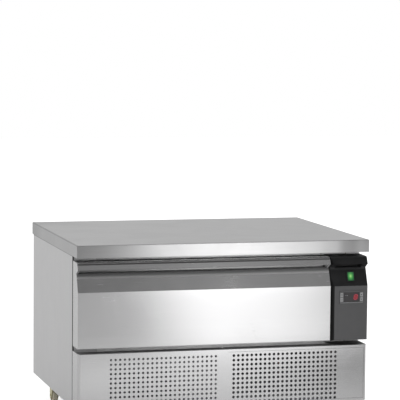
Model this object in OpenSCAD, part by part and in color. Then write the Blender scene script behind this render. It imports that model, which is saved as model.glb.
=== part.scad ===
// Refrigerated drawer unit: one insulated drawer under a worktop, with the
// machine compartment below it behind a perforated cover, on four castors.
// Millimetres, +Z up, front towards -Y. The origin is on the floor, under the
// middle of the worktop.

/* [Worktop] */
// Width of the worktop, left to right
top_w = 907; // [880:1:940]
// Depth of the worktop, front to back
top_d = 700; // [690:1:740]
// Height of the worktop's folded edge
top_t = 38; // [30:1:46]
// Thickness of the worktop's sheet
top_sheet = 1.5; // [1:0.1:2]
// Radius of the worktop's folded edges
top_bend = 2.5; // [2:0.1:4]
// How far the worktop stands out past each side panel
top_side_over = 3; // [1:0.5:6]
// How far the worktop stands out past the rear panel
top_back_over = 3; // [1:0.5:10]

/* [Cabinet] */
// Height of the cabinet between the castors and the worktop
cabinet_h = 457; // [455:1:480]
// Distance from the worktop's front edge back to the cabinet's front
front_depth = 77; // [70:1:90]
// Thickness of the cabinet's outer sheets
skin_t = 1; // [0.8:0.1:1.2]
// Radius of the bends in the cabinet's outer sheets
skin_bend = 2; // [1.5:0.1:3]
// Width of the left stile beside the drawer opening
stile_w = 75; // [70:1:85]
// Width of the visible joints between the parts of the front frame
frame_joint = 2; // [1:0.1:3]
// Width of the folded flange on each side panel's rear edge
rear_flange = 30; // [20:1:40]
// Width of the folded flange on the right side panel's front edge
right_flange = 45; // [35:1:50]
// How far the drawer laps over the joint at the end of the top rail
joint_lap = 5; // [4:0.5:8]
// Length of each air slot in the rear panel
air_slot_l = 100; // [60:1:120]
// Height of each air slot
air_slot_h = 6; // [4:0.5:8]
// Distance between neighbouring air slots, upwards
air_slot_pitch = 18; // [14:1:20]
// Distance between neighbouring fields of air slots
air_field = 140; // [130:1:160]
// Height of the lowest air slot above the base tray
air_slot_up = 24; // [20:1:30]
// Rows of air slots
air_slots = 7; // [4:1:7]
// Diameter of the cable gland's hole
gland_hole = 20; // [16:0.5:22]
// Distance from the cabinet's left side to the cable gland
gland_in = 150; // [120:1:180]
// Distance from the cabinet's back to the cable gland
gland_back = 50; // [40:1:60]
// Diameter of the hole that the pipes rise through
chase_d = 26; // [20:1:30]
// Distance from the cabinet's back to the pipes' hole
chase_back = 112; // [90:1:130]
// Depth of the insulation behind the cavity
back_foam = 55; // [40:1:70]
// Thickness of the insulation on the right of the cavity
right_foam = 52; // [40:1:60]
// Thickness of the inner liner
liner_t = 1; // [0.8:0.1:1.5]
// Thickness of the sheet over the machine compartment
ceiling_t = 1; // [0.8:0.1:1.5]
// Thickness of the base tray
base_t = 1.5; // [1:0.1:2]
// Height of the base tray's folded rim
base_rim = 20; // [12:1:30]

/* [Drawer front] */
// Depth of the drawer front without its gasket
drawer_t = 70; // [64:1:73]
// Thickness of the drawer front's sheet
drawer_sheet = 1.2; // [1:0.1:1.5]
// Radius of the bends in the drawer front's sheet
drawer_bend = 1.6; // [1.5:0.1:2]
// Gap between the worktop and the top of the drawer
drawer_top_gap = 13.5; // [10:0.5:18]
// Gap between the drawer and the column beside it
drawer_side_gap = 3; // [2:0.5:6]
// How far the drawer laps over the frame on its right
drawer_lap = 15; // [14.5:0.5:18]
// How far the drawer reaches below its opening
drawer_low_lap = 40; // [30:1:46]
// How far the drawer reaches above its opening
drawer_high_lap = 25.5; // [22:0.5:30]
// Thickness of the plates that close the drawer's ends
cap_t = 6; // [4:0.5:8]
// Width of the gasket behind the drawer front
gasket_w = 12; // [8:1:12]
// How far the gasket lies inside the drawer front's edges
gasket_in = 3; // [2.5:0.5:6]

/* [Handle] */
// Height of the sloping face below the finger recess
slope_h = 54; // [46:1:60]
// How far the sloping face leans back
slope_back = 21.5; // [16:0.5:26]
// Distance from the drawer's top down to the sloping face
slope_drop = 34.5; // [33:0.5:38]
// Distance from the drawer's top down to the lip's nose
nose_drop = 23; // [21:0.5:26]
// How far the lip's nose lies behind the drawer's face
nose_back = 1.2; // [0.5:0.1:4]
// How far the lip's top edge leans back
lip_lean = 8.5; // [6:0.5:11]
// Thickness of the lip at its nose
lip_t = 7.5; // [6:0.5:9]
// Depth of the finger recess behind the drawer's face
recess_depth = 48; // [40:1:54]
// Distance from the drawer's top down to the recess's roof
recess_roof = 12.5; // [10:0.5:14]
// Radius of the bend from the sloping face into the recess
crest_r = 10; // [4:0.5:12]

/* [Drawer frame] */
// Distance from the back of the pans' frame to the cavity's back
frame_back = 28; // [24:1:60]
// Width of the bar between the two pans
mid_bar = 16.4; // [12:0.2:30]
// Width of the ledge at each end of the pans
pan_end = 18.5; // [17.5:0.5:30]
// Distance from the cavity's roof down to the pans' ledge
ledge_drop = 24; // [18:1:28]
// Width of the frame's side ledges
ledge_w = 13; // [8:1:14]
// Height of the frame's side plates
frame_h = 67; // [62:1:80]
// Thickness of the frame's sheet
frame_t = 1.5; // [1:0.1:2]

/* [Runners] */
// Distance from the back of the runners to the cavity's back
runner_back = 11; // [6:1:50]
// Height of each runner
runner_h = 45; // [40:1:50]
// Width of each runner when its members are nested
runner_w = 13; // [12:0.5:14]
// Distance from the cavity's roof down to the runner's middle
runner_drop = 54; // [50:1:60]
// Thickness of the runner's members
runner_t = 1.5; // [1.2:0.1:1.6]
// Running gap between the runner's members
runner_gap = 0.4; // [0.3:0.05:0.6]

/* [Control column] */
// Width of the column to the right of the drawer
column_w = 116; // [112:1:130]
// Thickness of the column's moulded wall
column_wall = 2.5; // [2:0.1:3]
// Width of the black margin on the left of the fascia
fascia_margin = 10.5; // [8:0.5:14]
// Thickness of the fascia plate
fascia_t = 1.5; // [1:0.1:2]
// Distance from the column's left side to its finger recess
column_recess_in = 15.5; // [12:0.5:20]
// Width of the column's finger recess
column_recess_w = 84; // [70:1:88]
// Distance from the column's left side to the middle of its controls
controls_x = 64; // [60:0.5:66]
// Distance from the fascia's top edge down to the middle of the thermostat
thermostat_drop = 34; // [22:1:70]
// Width of the thermostat's bezel
thermostat_w = 75; // [74:0.5:78]
// Height of the thermostat's bezel
thermostat_h = 37; // [35:0.5:40]
// Depth of the thermostat's housing behind the fascia
thermostat_depth = 45; // [30:1:60]
// Width of the thermostat's housing behind its bezel
housing_w = 72; // [71.5:0.5:73]
// Height of the thermostat's housing behind its bezel
housing_h = 29; // [26:0.5:31]
// How far the thermostat's bezel stands out
bezel_out = 2.5; // [2:0.1:3.5]
// Width of the display window
window_w = 50; // [44:0.5:52]
// Height of the display window
window_h = 29; // [24:0.5:30]
// Width of each key beside the window
key_w = 8; // [6:0.5:8.5]
// Height of each key
key_h = 12; // [9:0.5:13]
// Travel of each key
key_travel = 0.8; // [0.4:0.1:1]
// Width of the rocker switch's bezel
switch_w = 25; // [24:0.5:28]
// Height of the rocker switch's bezel
switch_h = 32; // [31:0.5:36]
// Width of the rocker
rocker_w = 19; // [16:0.5:20]
// Height of the rocker
rocker_h = 26; // [22:0.5:26.5]
// Angle between the rocker's two positions
rocker_swing = 12; // [8:1:14]
// How far the switch's bezel stands out
switch_out = 2; // [1.5:0.1:3]
// Depth of the switch's housing
switch_depth = 20; // [16:1:26]

/* [Grille] */
// Height of the perforated cover
grille_h = 173; // [168:1:176]
// Gap between the cover and the drawer
grille_gap = 15; // [10:0.5:18]
// Thickness of the cover's sheet
grille_t = 1.2; // [1:0.1:1.5]
// How far each side of the cover lies inside the side panel's face
grille_inset = 0.5; // [0.2:0.1:2]
// Radius of the cover's upright bends
grille_bend = 8; // [6:0.5:8]
// Width of the plain border round the perforated sheet
grille_border = 8.5; // [8.1:0.1:8.9]
// Depth of the cover's bottom flange
grille_low_flange = 72; // [15:1:74]
// Distance between neighbouring holes
hole_pitch = 14; // [13.5:0.1:14.5]
// Diameter of each hole
hole_d = 7; // [5:0.1:7.8]
// Columns of holes in each half
hole_columns = 24; // [20:1:24]
// Rows of holes
hole_rows = 11; // [8:1:11]
// Distance from the cover's middle to the first column of each half
hole_first_x = 28; // [20:0.5:34]
// Distance from the cover's top to the first row
hole_first_z = 20; // [16:0.5:22]
// Diameter of the screw hole in the cover's top flange
cover_screw_d = 6; // [4:0.5:8]
// Distance from the cabinet's front to that screw hole
cover_screw_in = 44; // [20:1:60]

/* [Machine compartment] */
// Diameter of the compressor's shell
compressor_d = 140; // [120:1:150]
// Height of the compressor's shell
compressor_h = 120; // [100:1:124]
// Height of the compressor's rubber feet
compressor_foot = 12; // [8:1:16]
// Diameter of the compressor's rubber feet
compressor_foot_d = 20; // [16:1:24]
// Compressor's distance to the right of the middle
compressor_x = 230; // [180:1:260]
// Compressor's distance behind the middle
compressor_y = 170; // [120:1:200]
// Width of the evaporation tray on the compressor
tray_w = 150; // [130:1:170]
// Depth of the evaporation tray, front to back
tray_d = 110; // [90:1:130]
// Height of the evaporation tray
tray_h = 26; // [18:1:27]
// Thickness of the evaporation tray's wall
tray_wall = 2; // [1.5:0.1:3]
// Width of the condenser
condenser_w = 250; // [220:1:270]
// Depth of the condenser
condenser_d = 66; // [50:1:72]
// Height of the condenser
condenser_h = 140; // [130:1:150]
// Distance from the cabinet's left side to the condenser
condenser_in = 72; // [60:1:90]
// Distance from the cabinet's front to the condenser
condenser_back = 45; // [30:1:60]
// Number of fins on the condenser
condenser_fins = 42; // [30:1:50]
// Diameter of the condenser fan
condenser_fan_d = 120; // [100:1:124]

/* [Evaporator] */
// Width of the evaporator
evaporator_w = 46; // [40:1:48]
// Length of the evaporator
evaporator_len = 280; // [240:1:300]
// Distance from the cavity's roof down to the evaporator
evaporator_top = 24; // [12:1:40]
// Height of the evaporator above the cavity's floor
evaporator_foot = 16; // [10:1:24]
// Distance from the cabinet's front to the evaporator
evaporator_front = 45; // [30:1:60]
// Distance between the evaporator and the fan behind it
evaporator_fan_gap = 30; // [20:1:50]
// Height of the fan's frame above the cavity's floor
evaporator_fan_up = 8; // [4:1:30]
// Number of fins on the evaporator
evaporator_fins = 36; // [24:1:40]
// Size of the evaporator fan's square frame
fan_frame = 92; // [80:1:94]
// Diameter of the evaporator fan
evaporator_fan_d = 82; // [70:1:83]

/* [Castors] */
// Height of each castor, from the floor to the top of its plate
castor_h = 77; // [75:1:82]
// Diameter of each wheel
wheel_d = 50; // [46:1:52]
// Width of each wheel
wheel_w = 18; // [14:0.5:20]
// Distance from the middle of the cabinet to each castor, sideways
castor_x = 407; // [360:1:410]
// Distance from the cabinet's front to the front castors
castor_front_in = 55; // [45:1:90]
// Distance from the cabinet's back to the rear castors
castor_back_in = 150; // [60:1:170]
// Distance from each castor's swivel to its axle
castor_trail = 18; // [14:1:22]
// Diameter of each axle
axle_d = 6; // [5:0.5:8]

/* [Clearances] */
// Gap between pieces that move past each other
slip = 0.3; // [0.3:0.05:0.5]
// Radial gap of a shaft that runs in a hole
bearing_fit = 0.05; // [0.02:0.01:0.09]

/* [Hidden] */
$fn = 48;

// The cabinet's box, outside its sheets
body_x = top_w / 2 - top_side_over;
face_y = -top_d / 2;
body_y0 = face_y + front_depth;
body_y1 = top_d / 2 - top_back_over;
body_z0 = castor_h;
body_z1 = body_z0 + cabinet_h;
total_h = body_z1 + top_t;

// Heights of the cover and the drawer
grille_z1 = body_z0 + grille_h;
drawer_z0 = grille_z1 + grille_gap;
drawer_z1 = body_z1 - drawer_top_gap;

// The column and the drawer across the front
column_x0 = body_x - column_w;
drawer_x0 = -body_x;
drawer_x1 = column_x0 - drawer_side_gap;

// The drawer opening, which the liner's inner walls line
open_x0 = drawer_x0 + stile_w;
open_x1 = drawer_x1 - drawer_lap;
open_z0 = drawer_z0 + drawer_low_lap;
open_z1 = drawer_z1 - drawer_high_lap;
liner_x1 = body_x - skin_t - right_foam;
liner_y1 = body_y1 - skin_t - back_foam;
ceiling_z = grille_z1;
top_joint_x = drawer_x1 - joint_lap;
grille_x1 = body_x - grille_inset;
gland_x = gland_in - body_x;
gland_y = body_y1 - gland_back;
chase_y = body_y1 - chase_back;

// The drawer's cross-section, as depth behind its face and height
slope_z1 = drawer_z1 - slope_drop;
slope_z0 = slope_z1 - slope_h;
slope_tilt = atan(slope_back / slope_h);
nose_z = drawer_z1 - nose_drop;
nose_point = [nose_back, nose_z];
lip_top = [[nose_back + lip_lean, drawer_z1 - 5], [nose_back + lip_lean + 4, drawer_z1 - 1]];
recess_back = [recess_depth, slope_z1];
crest = arc([0, slope_z0], [slope_back, slope_z1], recess_back, crest_r, 8);
recess_walls = concat(crest, [recess_back, [recess_depth, drawer_z1 - recess_roof],
    [nose_back + lip_t + 5, drawer_z1 - recess_roof], [nose_back + lip_t, nose_z - 2], nose_point]);
recess_outline = concat([[slope_back - 8, slope_z1 + 3]], recess_walls);
skin_path = concat([[drawer_t, drawer_z0], [0, drawer_z0], [0, slope_z0]], recess_walls, lip_top,
    [[drawer_t, drawer_z1]]);

// Places of the controls
controls_mid = column_x0 + controls_x;
fascia_x0 = column_x0 + fascia_margin;
fascia_z1 = slope_z0 - 1;
thermostat_z = fascia_z1 - thermostat_drop;
slope_mid = [slope_back / 2, (slope_z0 + slope_z1) / 2];

// The runners and the drawer frame
runner_z = open_z1 - runner_drop;
runner_y0 = body_y0 + skin_t + 1;
runner_len = liner_y1 - liner_t - runner_back - runner_y0;
frame_x0 = open_x0 + runner_w + slip;
frame_x1 = open_x1 - runner_w - slip;
frame_y0 = face_y + drawer_t;
ledge_z = open_z1 - ledge_drop;
frame_mid = (frame_x0 + frame_x1) / 2;
frame_len = liner_y1 - liner_t - frame_back - frame_y0;
pan_w = (frame_x1 - frame_x0 - mid_bar) / 2 - frame_t - ledge_w;
pan_len = frame_len - 2 * pan_end;
frame_rise = 8;
mid_drop = 20;

// The machine compartment and the evaporator
floor_z = body_z0 + base_t;
condenser_x0 = -body_x + condenser_in;
condenser_y0 = body_y0 + condenser_back;
condenser_z0 = floor_z + 6;
shroud_d = 30;
fan_x = condenser_x0 + condenser_w / 2;
fan_z = condenser_z0 + condenser_h / 2;
fan_y = condenser_y0 + condenser_d + shroud_d;
compressor_z = floor_z + compressor_foot;
cover_t = 1.5;
evaporator_x0 = open_x1 + cover_t + 8;
evaporator_y0 = body_y0 + evaporator_front;
evaporator_z0 = open_z0 + evaporator_foot;
evaporator_h = open_z1 - evaporator_top - evaporator_z0;
row_x = evaporator_x0 + evaporator_w * 3 / 4;
chase_x = row_x + 6;
fan_y2 = evaporator_y0 + evaporator_len + evaporator_fan_gap + fan_frame / 2;
fan_z2 = open_z0 + evaporator_fan_up + fan_frame / 2;

// The castors
wheel_r = wheel_d / 2;
castor_places = [[-castor_x, body_y0 + castor_front_in], [castor_x, body_y0 + castor_front_in],
    [-castor_x, body_y1 - castor_back_in], [castor_x, body_y1 - castor_back_in]];
plate_t = 3;
plate_w = 62;
race_h = 8;
fork_t = 2.5;
fork_top = castor_h - plate_t - race_h - slip;
fork_disc_d = 42;
race_d = 44;
pivot_d = 8;
pedal_y = 30;
pedal_z = 54;
pedal_pin_d = 4;

// The column's recess and the switch's pocket
recess_x0 = column_x0 + column_recess_in;
pocket_w = rocker_w + 2 * slip;
pocket_h = rocker_h + 2.2;
pocket_wall = 0.9;
pin_d = 3;
pivot_depth = 4;
key_x = (window_w + thermostat_w) / 4 + 0.1;
key_z = housing_h / 4;

// Sizes that the cooling pieces share
coil_rows = 6;
end_t = 1.5;
fin_t = 0.5;
stub = 12;
fan_width = 26;
motor_len = 46;
motor_shaft_d = 6;
fan_frame_t = 25;
cover_slots = 10;
cover_slot_pitch = 12;
cover_slot_w = 5;
cover_slot_h = 80;
small_fan_w = 15;
small_shaft_d = 4;
discharge_z = compressor_z + 88;
suction_z = compressor_z + 60;
lip_h = 3;

// Cross-sections of the runner's three members: distance from the wall, height
outer_line = [[runner_w - 1, runner_h / 2 - lip_h], [runner_w - 1, runner_h / 2], [0, runner_h / 2],
    [0, -runner_h / 2], [runner_w - 1, -runner_h / 2], [runner_w - 1, lip_h - runner_h / 2]];
middle_h = runner_h / 2 - runner_t - runner_gap;
middle_x1 = runner_w - 1 - runner_t - runner_gap;
middle_line = [[middle_x1, middle_h - lip_h], [middle_x1, middle_h], [runner_t + runner_gap, middle_h],
    [runner_t + runner_gap, -middle_h], [middle_x1, -middle_h], [middle_x1, lip_h - middle_h]];
inner_h = middle_h - runner_t - runner_gap;
neck_h = middle_h - lip_h - runner_gap;
inner_x0 = 3 * runner_t + 2 * runner_gap;
inner_line = [[inner_x0, inner_h], [inner_x0, neck_h], [runner_w, neck_h], [runner_w, -neck_h],
    [inner_x0, -neck_h], [inner_x0, -inner_h]];

// Unit vector along v
function unit(v) = v / norm(v);

// Normal on the left of the way from a to b
function normal(a, b) = let (d = unit(b - a)) [-d[1], d[0]];

// Corner b moved off both of its edges by t
function mitred(a, b, c, t) =
    let (m = normal(a, b), n = normal(b, c)) b + t * (m + n) / (1 + m * n);

// Open line p moved sideways by t
function beside(p, t) =
    let (last = len(p) - 1)
    [for (i = [0:last])
        i == 0 ? p[0] + t * normal(p[0], p[1])
        : i == last ? p[last] + t * normal(p[last - 1], p[last])
        : mitred(p[i - 1], p[i], p[i + 1], t)];

// Closed outline p moved inwards by t, for an outline that runs clockwise
function inset(p, t) =
    let (n = len(p))
    [for (i = [0:n - 1]) mitred(p[(i + n - 1) % n], p[i], p[(i + 1) % n], -t)];

// Points of an arc of radius r that rounds the corner b
function arc(a, b, c, r, steps = 4) =
    let (u = unit(a - b), v = unit(c - b), half = acos(u * v) / 2,
        mid = b + unit(u + v) * r / sin(half),
        from = unit(b + u * r / tan(half) - mid), to = unit(b + v * r / tan(half) - mid))
    [for (i = [0:steps]) mid + r * unit(from * (steps - i) + to * i)];

// Open line p with each of its corners rounded
function rounded(p, r) =
    [for (i = [0:len(p) - 1])
        each (i == 0 || i == len(p) - 1) ? [p[i]] : arc(p[i - 1], p[i], p[i + 1], r)];

// Outline of the front pieces at a given depth, from their foot up to their top
function front_outline(depth) =
    concat([[depth, drawer_z0], [0, drawer_z0], [0, slope_z0], [slope_back, slope_z1], nose_point],
        lip_top, [[depth, drawer_z1]]);

function backwards(p) = [for (i = [len(p) - 1:-1:0]) p[i]];

// Folded sheet: a line with its bends, thickened to its left
module sheet(p, t, r = 0) {
    line = r > 0 ? rounded(p, r) : p;
    polygon(concat(line, backwards(beside(line, t))));
}

// Carries a [depth, height] cross-section along X, from x0 to x1
module across(x0, x1) {
    translate([x0, face_y, 0])
        rotate([90, 0, 90])
            linear_extrude(x1 - x0)
                children();
}

// Box between two corners
module block(a, b) {
    translate(a)
        cube(b - a);
}

// Round bar from a to b
module bar(a, b, d) {
    v = b - a;
    translate(a)
        rotate([0, acos(v[2] / norm(v)), atan2(v[1], v[0])])
            cylinder(h = norm(v), d = d);
}

// Pipe through the points p, with a brazed elbow at each corner
module pipe(p, d) {
    for (i = [0:len(p) - 2])
        bar(p[i], p[i + 1], d);
    for (i = [1:len(p) - 2])
        translate(p[i])
            sphere(d = d + 1.6, $fn = 32);
}

// Folded tray with its rims turned down and its front rim turned back under
module worktop() {
    profile_x = [[-top_w / 2, body_z1], [-top_w / 2, total_h], [top_w / 2, total_h], [top_w / 2, body_z1]];
    profile_y = [[0, body_z1], [0, total_h], [top_d, total_h], [top_d, body_z1]];
    color("lightgray")
        difference() {
            intersection() {
                across(-top_w / 2, top_w / 2)
                    polygon(rounded(profile_y, top_bend));
                translate([0, top_d / 2, 0])
                    rotate([90, 0, 0])
                        linear_extrude(top_d)
                            polygon(rounded(profile_x, top_bend));
            }
            block([-top_w / 2 + top_sheet, body_y0, body_z1 - 1],
                [top_w / 2 - top_sheet, top_d / 2 - top_sheet, total_h - top_sheet]);
            block([-top_w / 2 + top_sheet, face_y + top_sheet, body_z1 + top_sheet],
                [top_w / 2 - top_sheet, body_y0 + 1, total_h - top_sheet]);
        }
}

// Side panel: stile, side and rear flange folded from one sheet
module side_panel(front_flange) {
    path = [[-body_x + front_flange, body_y0], [-body_x, body_y0], [-body_x, body_y1],
        [-body_x + rear_flange, body_y1]];
    color("silver")
        translate([0, 0, body_z0])
            linear_extrude(cabinet_h)
                sheet(path, -skin_t, skin_bend);
}

module side_panel_left() {
    side_panel(stile_w - frame_joint);
}

module side_panel_right() {
    mirror([1, 0, 0])
        side_panel(right_flange);
}

// Rear panel with slots for the machine compartment's air
module rear_panel() {
    half = body_x - rear_flange - slip;
    color("silver")
        difference() {
            block([-half, body_y1 - skin_t, body_z0], [half, body_y1, body_z1]);
            for (x = [-2:2], z = [0:air_slots - 1])
                translate([x * air_field - air_slot_l / 2, body_y1 - 2 * skin_t,
                    floor_z + air_slot_up + z * air_slot_pitch])
                    cube([air_slot_l, 3 * skin_t, air_slot_h]);
        }
}

// Base tray with its rim folded up on all four sides
module base_tray() {
    x1 = body_x - skin_t - slip;
    y0 = body_y0 + skin_t + slip;
    y1 = body_y1 - skin_t - slip;
    color("gainsboro")
        difference() {
            block([-x1, y0, body_z0], [x1, y1, body_z0 + base_rim]);
            block([base_t - x1, y0 + base_t, floor_z], [x1 - base_t, y1 - base_t, body_z0 + base_rim + 1]);
            translate([gland_x, gland_y, body_z0 - 1])
                cylinder(h = base_t + 2, d = gland_hole);
        }
}

module pipe_chase(z0, z1, d) {
    translate([chase_x, chase_y, z0])
        cylinder(h = z1 - z0, d = d);
}

// Sheet between the machine compartment and the insulation
module compartment_ceiling() {
    x1 = body_x - skin_t - slip;
    color("gainsboro")
        difference() {
            block([-x1, body_y0 + skin_t + slip, ceiling_z],
                [x1, body_y1 - skin_t - slip, ceiling_z + ceiling_t]);
            pipe_chase(ceiling_z - 1, ceiling_z + 3, chase_d);
        }
}

// Foam round the cavity, foamed up into the worktop
module insulation() {
    x1 = body_x - skin_t - slip;
    y0 = body_y0 + skin_t + slip;
    color("khaki")
        difference() {
            union() {
                block([-x1, y0, ceiling_z + ceiling_t], [x1, body_y1 - skin_t - slip, body_z1 + 1]);
                block([-top_w / 2 + top_sheet + slip, face_y + top_sheet + slip, body_z1 + top_sheet],
                    [top_w / 2 - top_sheet - slip, top_d / 2 - top_sheet - slip, total_h - top_sheet]);
            }
            block([open_x0 - liner_t, y0 - 1, open_z0 - liner_t], [liner_x1, liner_y1, open_z1 + liner_t]);
            pipe_chase(ceiling_z - 1, open_z0, chase_d);
        }
}

// Box that lines the cavity, open at the front
module inner_liner() {
    color("whitesmoke")
        difference() {
            block([open_x0 - liner_t, body_y0, open_z0 - liner_t], [liner_x1, liner_y1, open_z1 + liner_t]);
            block([open_x0, body_y0 - 1, open_z0], [liner_x1 - liner_t, liner_y1 - liner_t, open_z1]);
            block([open_x1 + liner_t, body_y0 - 1, open_z0 - 2 * liner_t],
                [liner_x1 + 1, body_y0 + skin_t + slip, open_z1 + 2 * liner_t]);
            pipe_chase(open_z0 - 3, open_z0 + 1, chase_d);
        }
}

// Rails and stile round the drawer opening, in the cabinet's front plane
module front_plate(x0, x1, z0, z1) {
    block([x0, body_y0, z0], [x1, body_y0 + skin_t, z1]);
}

module top_rail() {
    color("lightgray")
        front_plate(open_x0 - liner_t, top_joint_x - frame_joint, open_z1 + liner_t + slip, body_z1);
}

module bottom_rail() {
    color("lightgray")
        front_plate(open_x0 - liner_t, body_x - right_flange - frame_joint,
            ceiling_z, open_z0 - liner_t - slip);
}

module right_stile() {
    color("lightgray") {
        front_plate(top_joint_x, body_x - right_flange - frame_joint, open_z0 - liner_t, body_z1);
        front_plate(open_x1 + liner_t + slip, top_joint_x, open_z0 - liner_t, open_z1 + liner_t);
    }
}

// Perforated sheet in the face of the compartment's cover
module grille_panel() {
    x1 = grille_x1 - grille_border;
    color("lightgray")
        difference() {
            block([-x1, face_y, body_z0 + grille_border], [x1, face_y + grille_t, grille_z1 - grille_border]);
            for (side = [-1, 1], i = [0:hole_columns - 1], j = [0:hole_rows - 1])
                translate([side * (hole_first_x + i * hole_pitch), face_y - 1,
                    grille_z1 - hole_first_z - j * hole_pitch])
                    rotate([-90, 0, 0])
                        cylinder(h = grille_t + 2, d = hole_d);
        }
}

// The cover's border, upright bends, side returns and flanges
module grille_surround() {
    x1 = grille_x1;
    y1 = body_y0 - slip;
    plan = [[-x1, y1], [-x1, face_y], [x1, face_y], [x1, y1]];
    depth = y1 - face_y;
    side = [[depth, body_z0], [0, body_z0], [0, grille_z1], [depth, grille_z1]];
    color("lightgray")
        difference() {
            intersection() {
                translate([0, 0, body_z0])
                    linear_extrude(grille_h)
                        polygon(rounded(plan, grille_bend));
                across(-x1, x1)
                    polygon(rounded(side, skin_bend));
            }
            translate([0, 0, body_z0 + grille_t])
                linear_extrude(grille_h - 2 * grille_t)
                    polygon(concat(beside(rounded(plan, grille_bend), grille_t),
                        [[x1 - grille_t, y1 + 1], [grille_t - x1, y1 + 1]]));
            block([grille_border - x1, face_y - 1, body_z0 + grille_border],
                [x1 - grille_border, face_y + 2 * grille_t, grille_z1 - grille_border]);
            block([grille_border - x1, face_y + grille_low_flange, body_z0 - 1],
                [x1 - grille_border, y1 + 1, body_z0 + 2 * grille_t]);
            translate([0, body_y0 - cover_screw_in, grille_z1 - 2 * grille_t])
                cylinder(h = 3 * grille_t, d = cover_screw_d);
        }
}

module column_recess() {
    across(recess_x0, recess_x0 + column_recess_w)
        polygon(recess_outline);
}

// Carries a piece drawn about its own middle onto the column's sloping face
module on_slope() {
    translate([controls_mid, face_y + slope_mid[0], slope_mid[1]])
        rotate([-slope_tilt, 0, 0])
            children();
}

// Plate of w by h about the middle, from depth y0 to y1
module plate(w, h, y0, y1) {
    block([-w / 2, y0, -h / 2], [w / 2, y1, h / 2]);
}

// Moulded column beside the drawer, hollow and open at its back
module control_column() {
    depth = front_depth - slip;
    color("#262626")
        difference() {
            across(column_x0, body_x)
                polygon(front_outline(depth));
            difference() {
                across(column_x0 + column_wall, body_x - column_wall)
                    polygon(inset(front_outline(depth + 2 * column_wall), column_wall));
                across(recess_x0 - column_wall, recess_x0 + column_recess_w + column_wall)
                    polygon(inset(recess_outline, column_wall));
            }
            column_recess();
            block([fascia_x0 - slip, face_y - 1, drawer_z0 - 1],
                [body_x + 1, face_y + fascia_t, fascia_z1 + slip]);
            translate([controls_mid, face_y, thermostat_z])
                plate(housing_w + 2 * slip, housing_h + 2 * slip, -1, thermostat_depth);
            on_slope()
                plate(pocket_w + 2 * pocket_wall + 2 * slip, pocket_h + 2 * pocket_wall + 2 * slip, -5, 12);
        }
}

// Fascia plate let into the column's face
module control_fascia() {
    color("#545454")
        difference() {
            block([fascia_x0, face_y, drawer_z0], [body_x, face_y + fascia_t, fascia_z1]);
            translate([controls_mid, face_y, thermostat_z])
                plate(housing_w + 2 * slip, housing_h + 2 * slip, -1, thermostat_depth);
        }
}

// Bezel and housing of the rocker switch
module switch_bezel() {
    color("#1c1c1c")
        on_slope()
            difference() {
                union() {
                    plate(switch_w, switch_h, -switch_out, 0);
                    plate(pocket_w + 2 * pocket_wall, pocket_h + 2 * pocket_wall, -1, switch_depth);
                }
                plate(pocket_w, pocket_h, -switch_out - 1, switch_depth - pocket_wall);
                rocker_pin(pin_d / 2 + bearing_fit);
            }
}

module rocker_pin(r) {
    translate([-pocket_w / 2 - pocket_wall / 2, pivot_depth, 0])
        rotate([0, 90, 0])
            cylinder(h = pocket_w + pocket_wall, r = r);
}

// Rocker, tipped to the side on which the switch is on
module rocker() {
    half = rocker_h / 2;
    face = [[-3.2, -half], [-2, 0], [-3.2, half], [5, half - 3], [7.5, 0], [5, 3 - half]];
    color("limegreen")
        on_slope() {
            translate([0, pivot_depth, 0])
                rotate([rocker_swing / 2, 0, 0])
                    translate([-rocker_w / 2, -pivot_depth, 0])
                        rotate([90, 0, 90])
                            linear_extrude(rocker_w)
                                polygon(face);
            rocker_pin(pin_d / 2);
        }
}

// Pocket of each key, from the bezel's middle
module at_key(column, row) {
    translate([controls_mid + column * key_x, face_y, thermostat_z + row * key_z])
        children();
}

// Thermostat: bezel on the fascia, housing behind it
module thermostat() {
    color("#202020")
        difference() {
            translate([controls_mid, face_y, thermostat_z]) {
                plate(thermostat_w, thermostat_h, -bezel_out, 0);
                plate(housing_w, housing_h, 0, thermostat_depth - slip);
            }
            translate([controls_mid, face_y, thermostat_z])
                plate(window_w + 2 * slip, window_h + 2 * slip, -bezel_out - 1, 0);
            for (column = [-1, 1], row = [-1, 1])
                at_key(column, row)
                    plate(key_w + 2 * slip, key_h + 2 * slip, -bezel_out - 1, 1);
        }
}

module display_window() {
    color("#401010")
        translate([controls_mid, face_y, thermostat_z])
            plate(window_w, window_h, 0.5 - bezel_out, 0);
}

module key(column, row) {
    color("gray")
        at_key(column, row)
            plate(key_w, key_h, -bezel_out - 0.5, 1 - key_travel - 0.1);
}

// Finned coil: fins across its length, tubes along it, end plates down to its seat
module coil(length, depth, height, fins, rows, foot) {
    tube_d = 8;
    step = height / rows;
    fin_pitch = (length - 2 * end_t) / (fins + 1);
    for (i = [1:fins])
        block([end_t + i * fin_pitch, 0, 0], [end_t + i * fin_pitch + fin_t, depth, height]);
    for (x = [0, length - end_t])
        block([x, -1, -foot], [x + end_t, depth + 1, height + 1]);
    for (row = [1, 3], i = [0:rows - 1]) {
        reach = row == 1 && (i == 0 || i == rows - 1) ? stub : 2;
        z = (i + 0.5) * step;
        bar([-2, row * depth / 4, z], [length + reach, row * depth / 4, z], tube_d);
    }
    for (row = [1, 3], i = [0:rows - 2])
        translate([i % 2 == 0 ? -2 : length + 2, row * depth / 4, (i + 1) * step])
            rotate([90, 0, 0])
                rotate([0, 0, i % 2 == 0 ? 90 : -90])
                    rotate_extrude(angle = 180)
                        translate([step / 2, 0])
                            circle(d = tube_d + 1);
}

// Condenser, whose end plates stand on the base tray
module condenser_coil() {
    color("lightsteelblue")
        translate([condenser_x0, condenser_y0, condenser_z0])
            coil(condenser_w, condenser_d, condenser_h, condenser_fins, coil_rows, condenser_z0 - floor_z);
}

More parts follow.
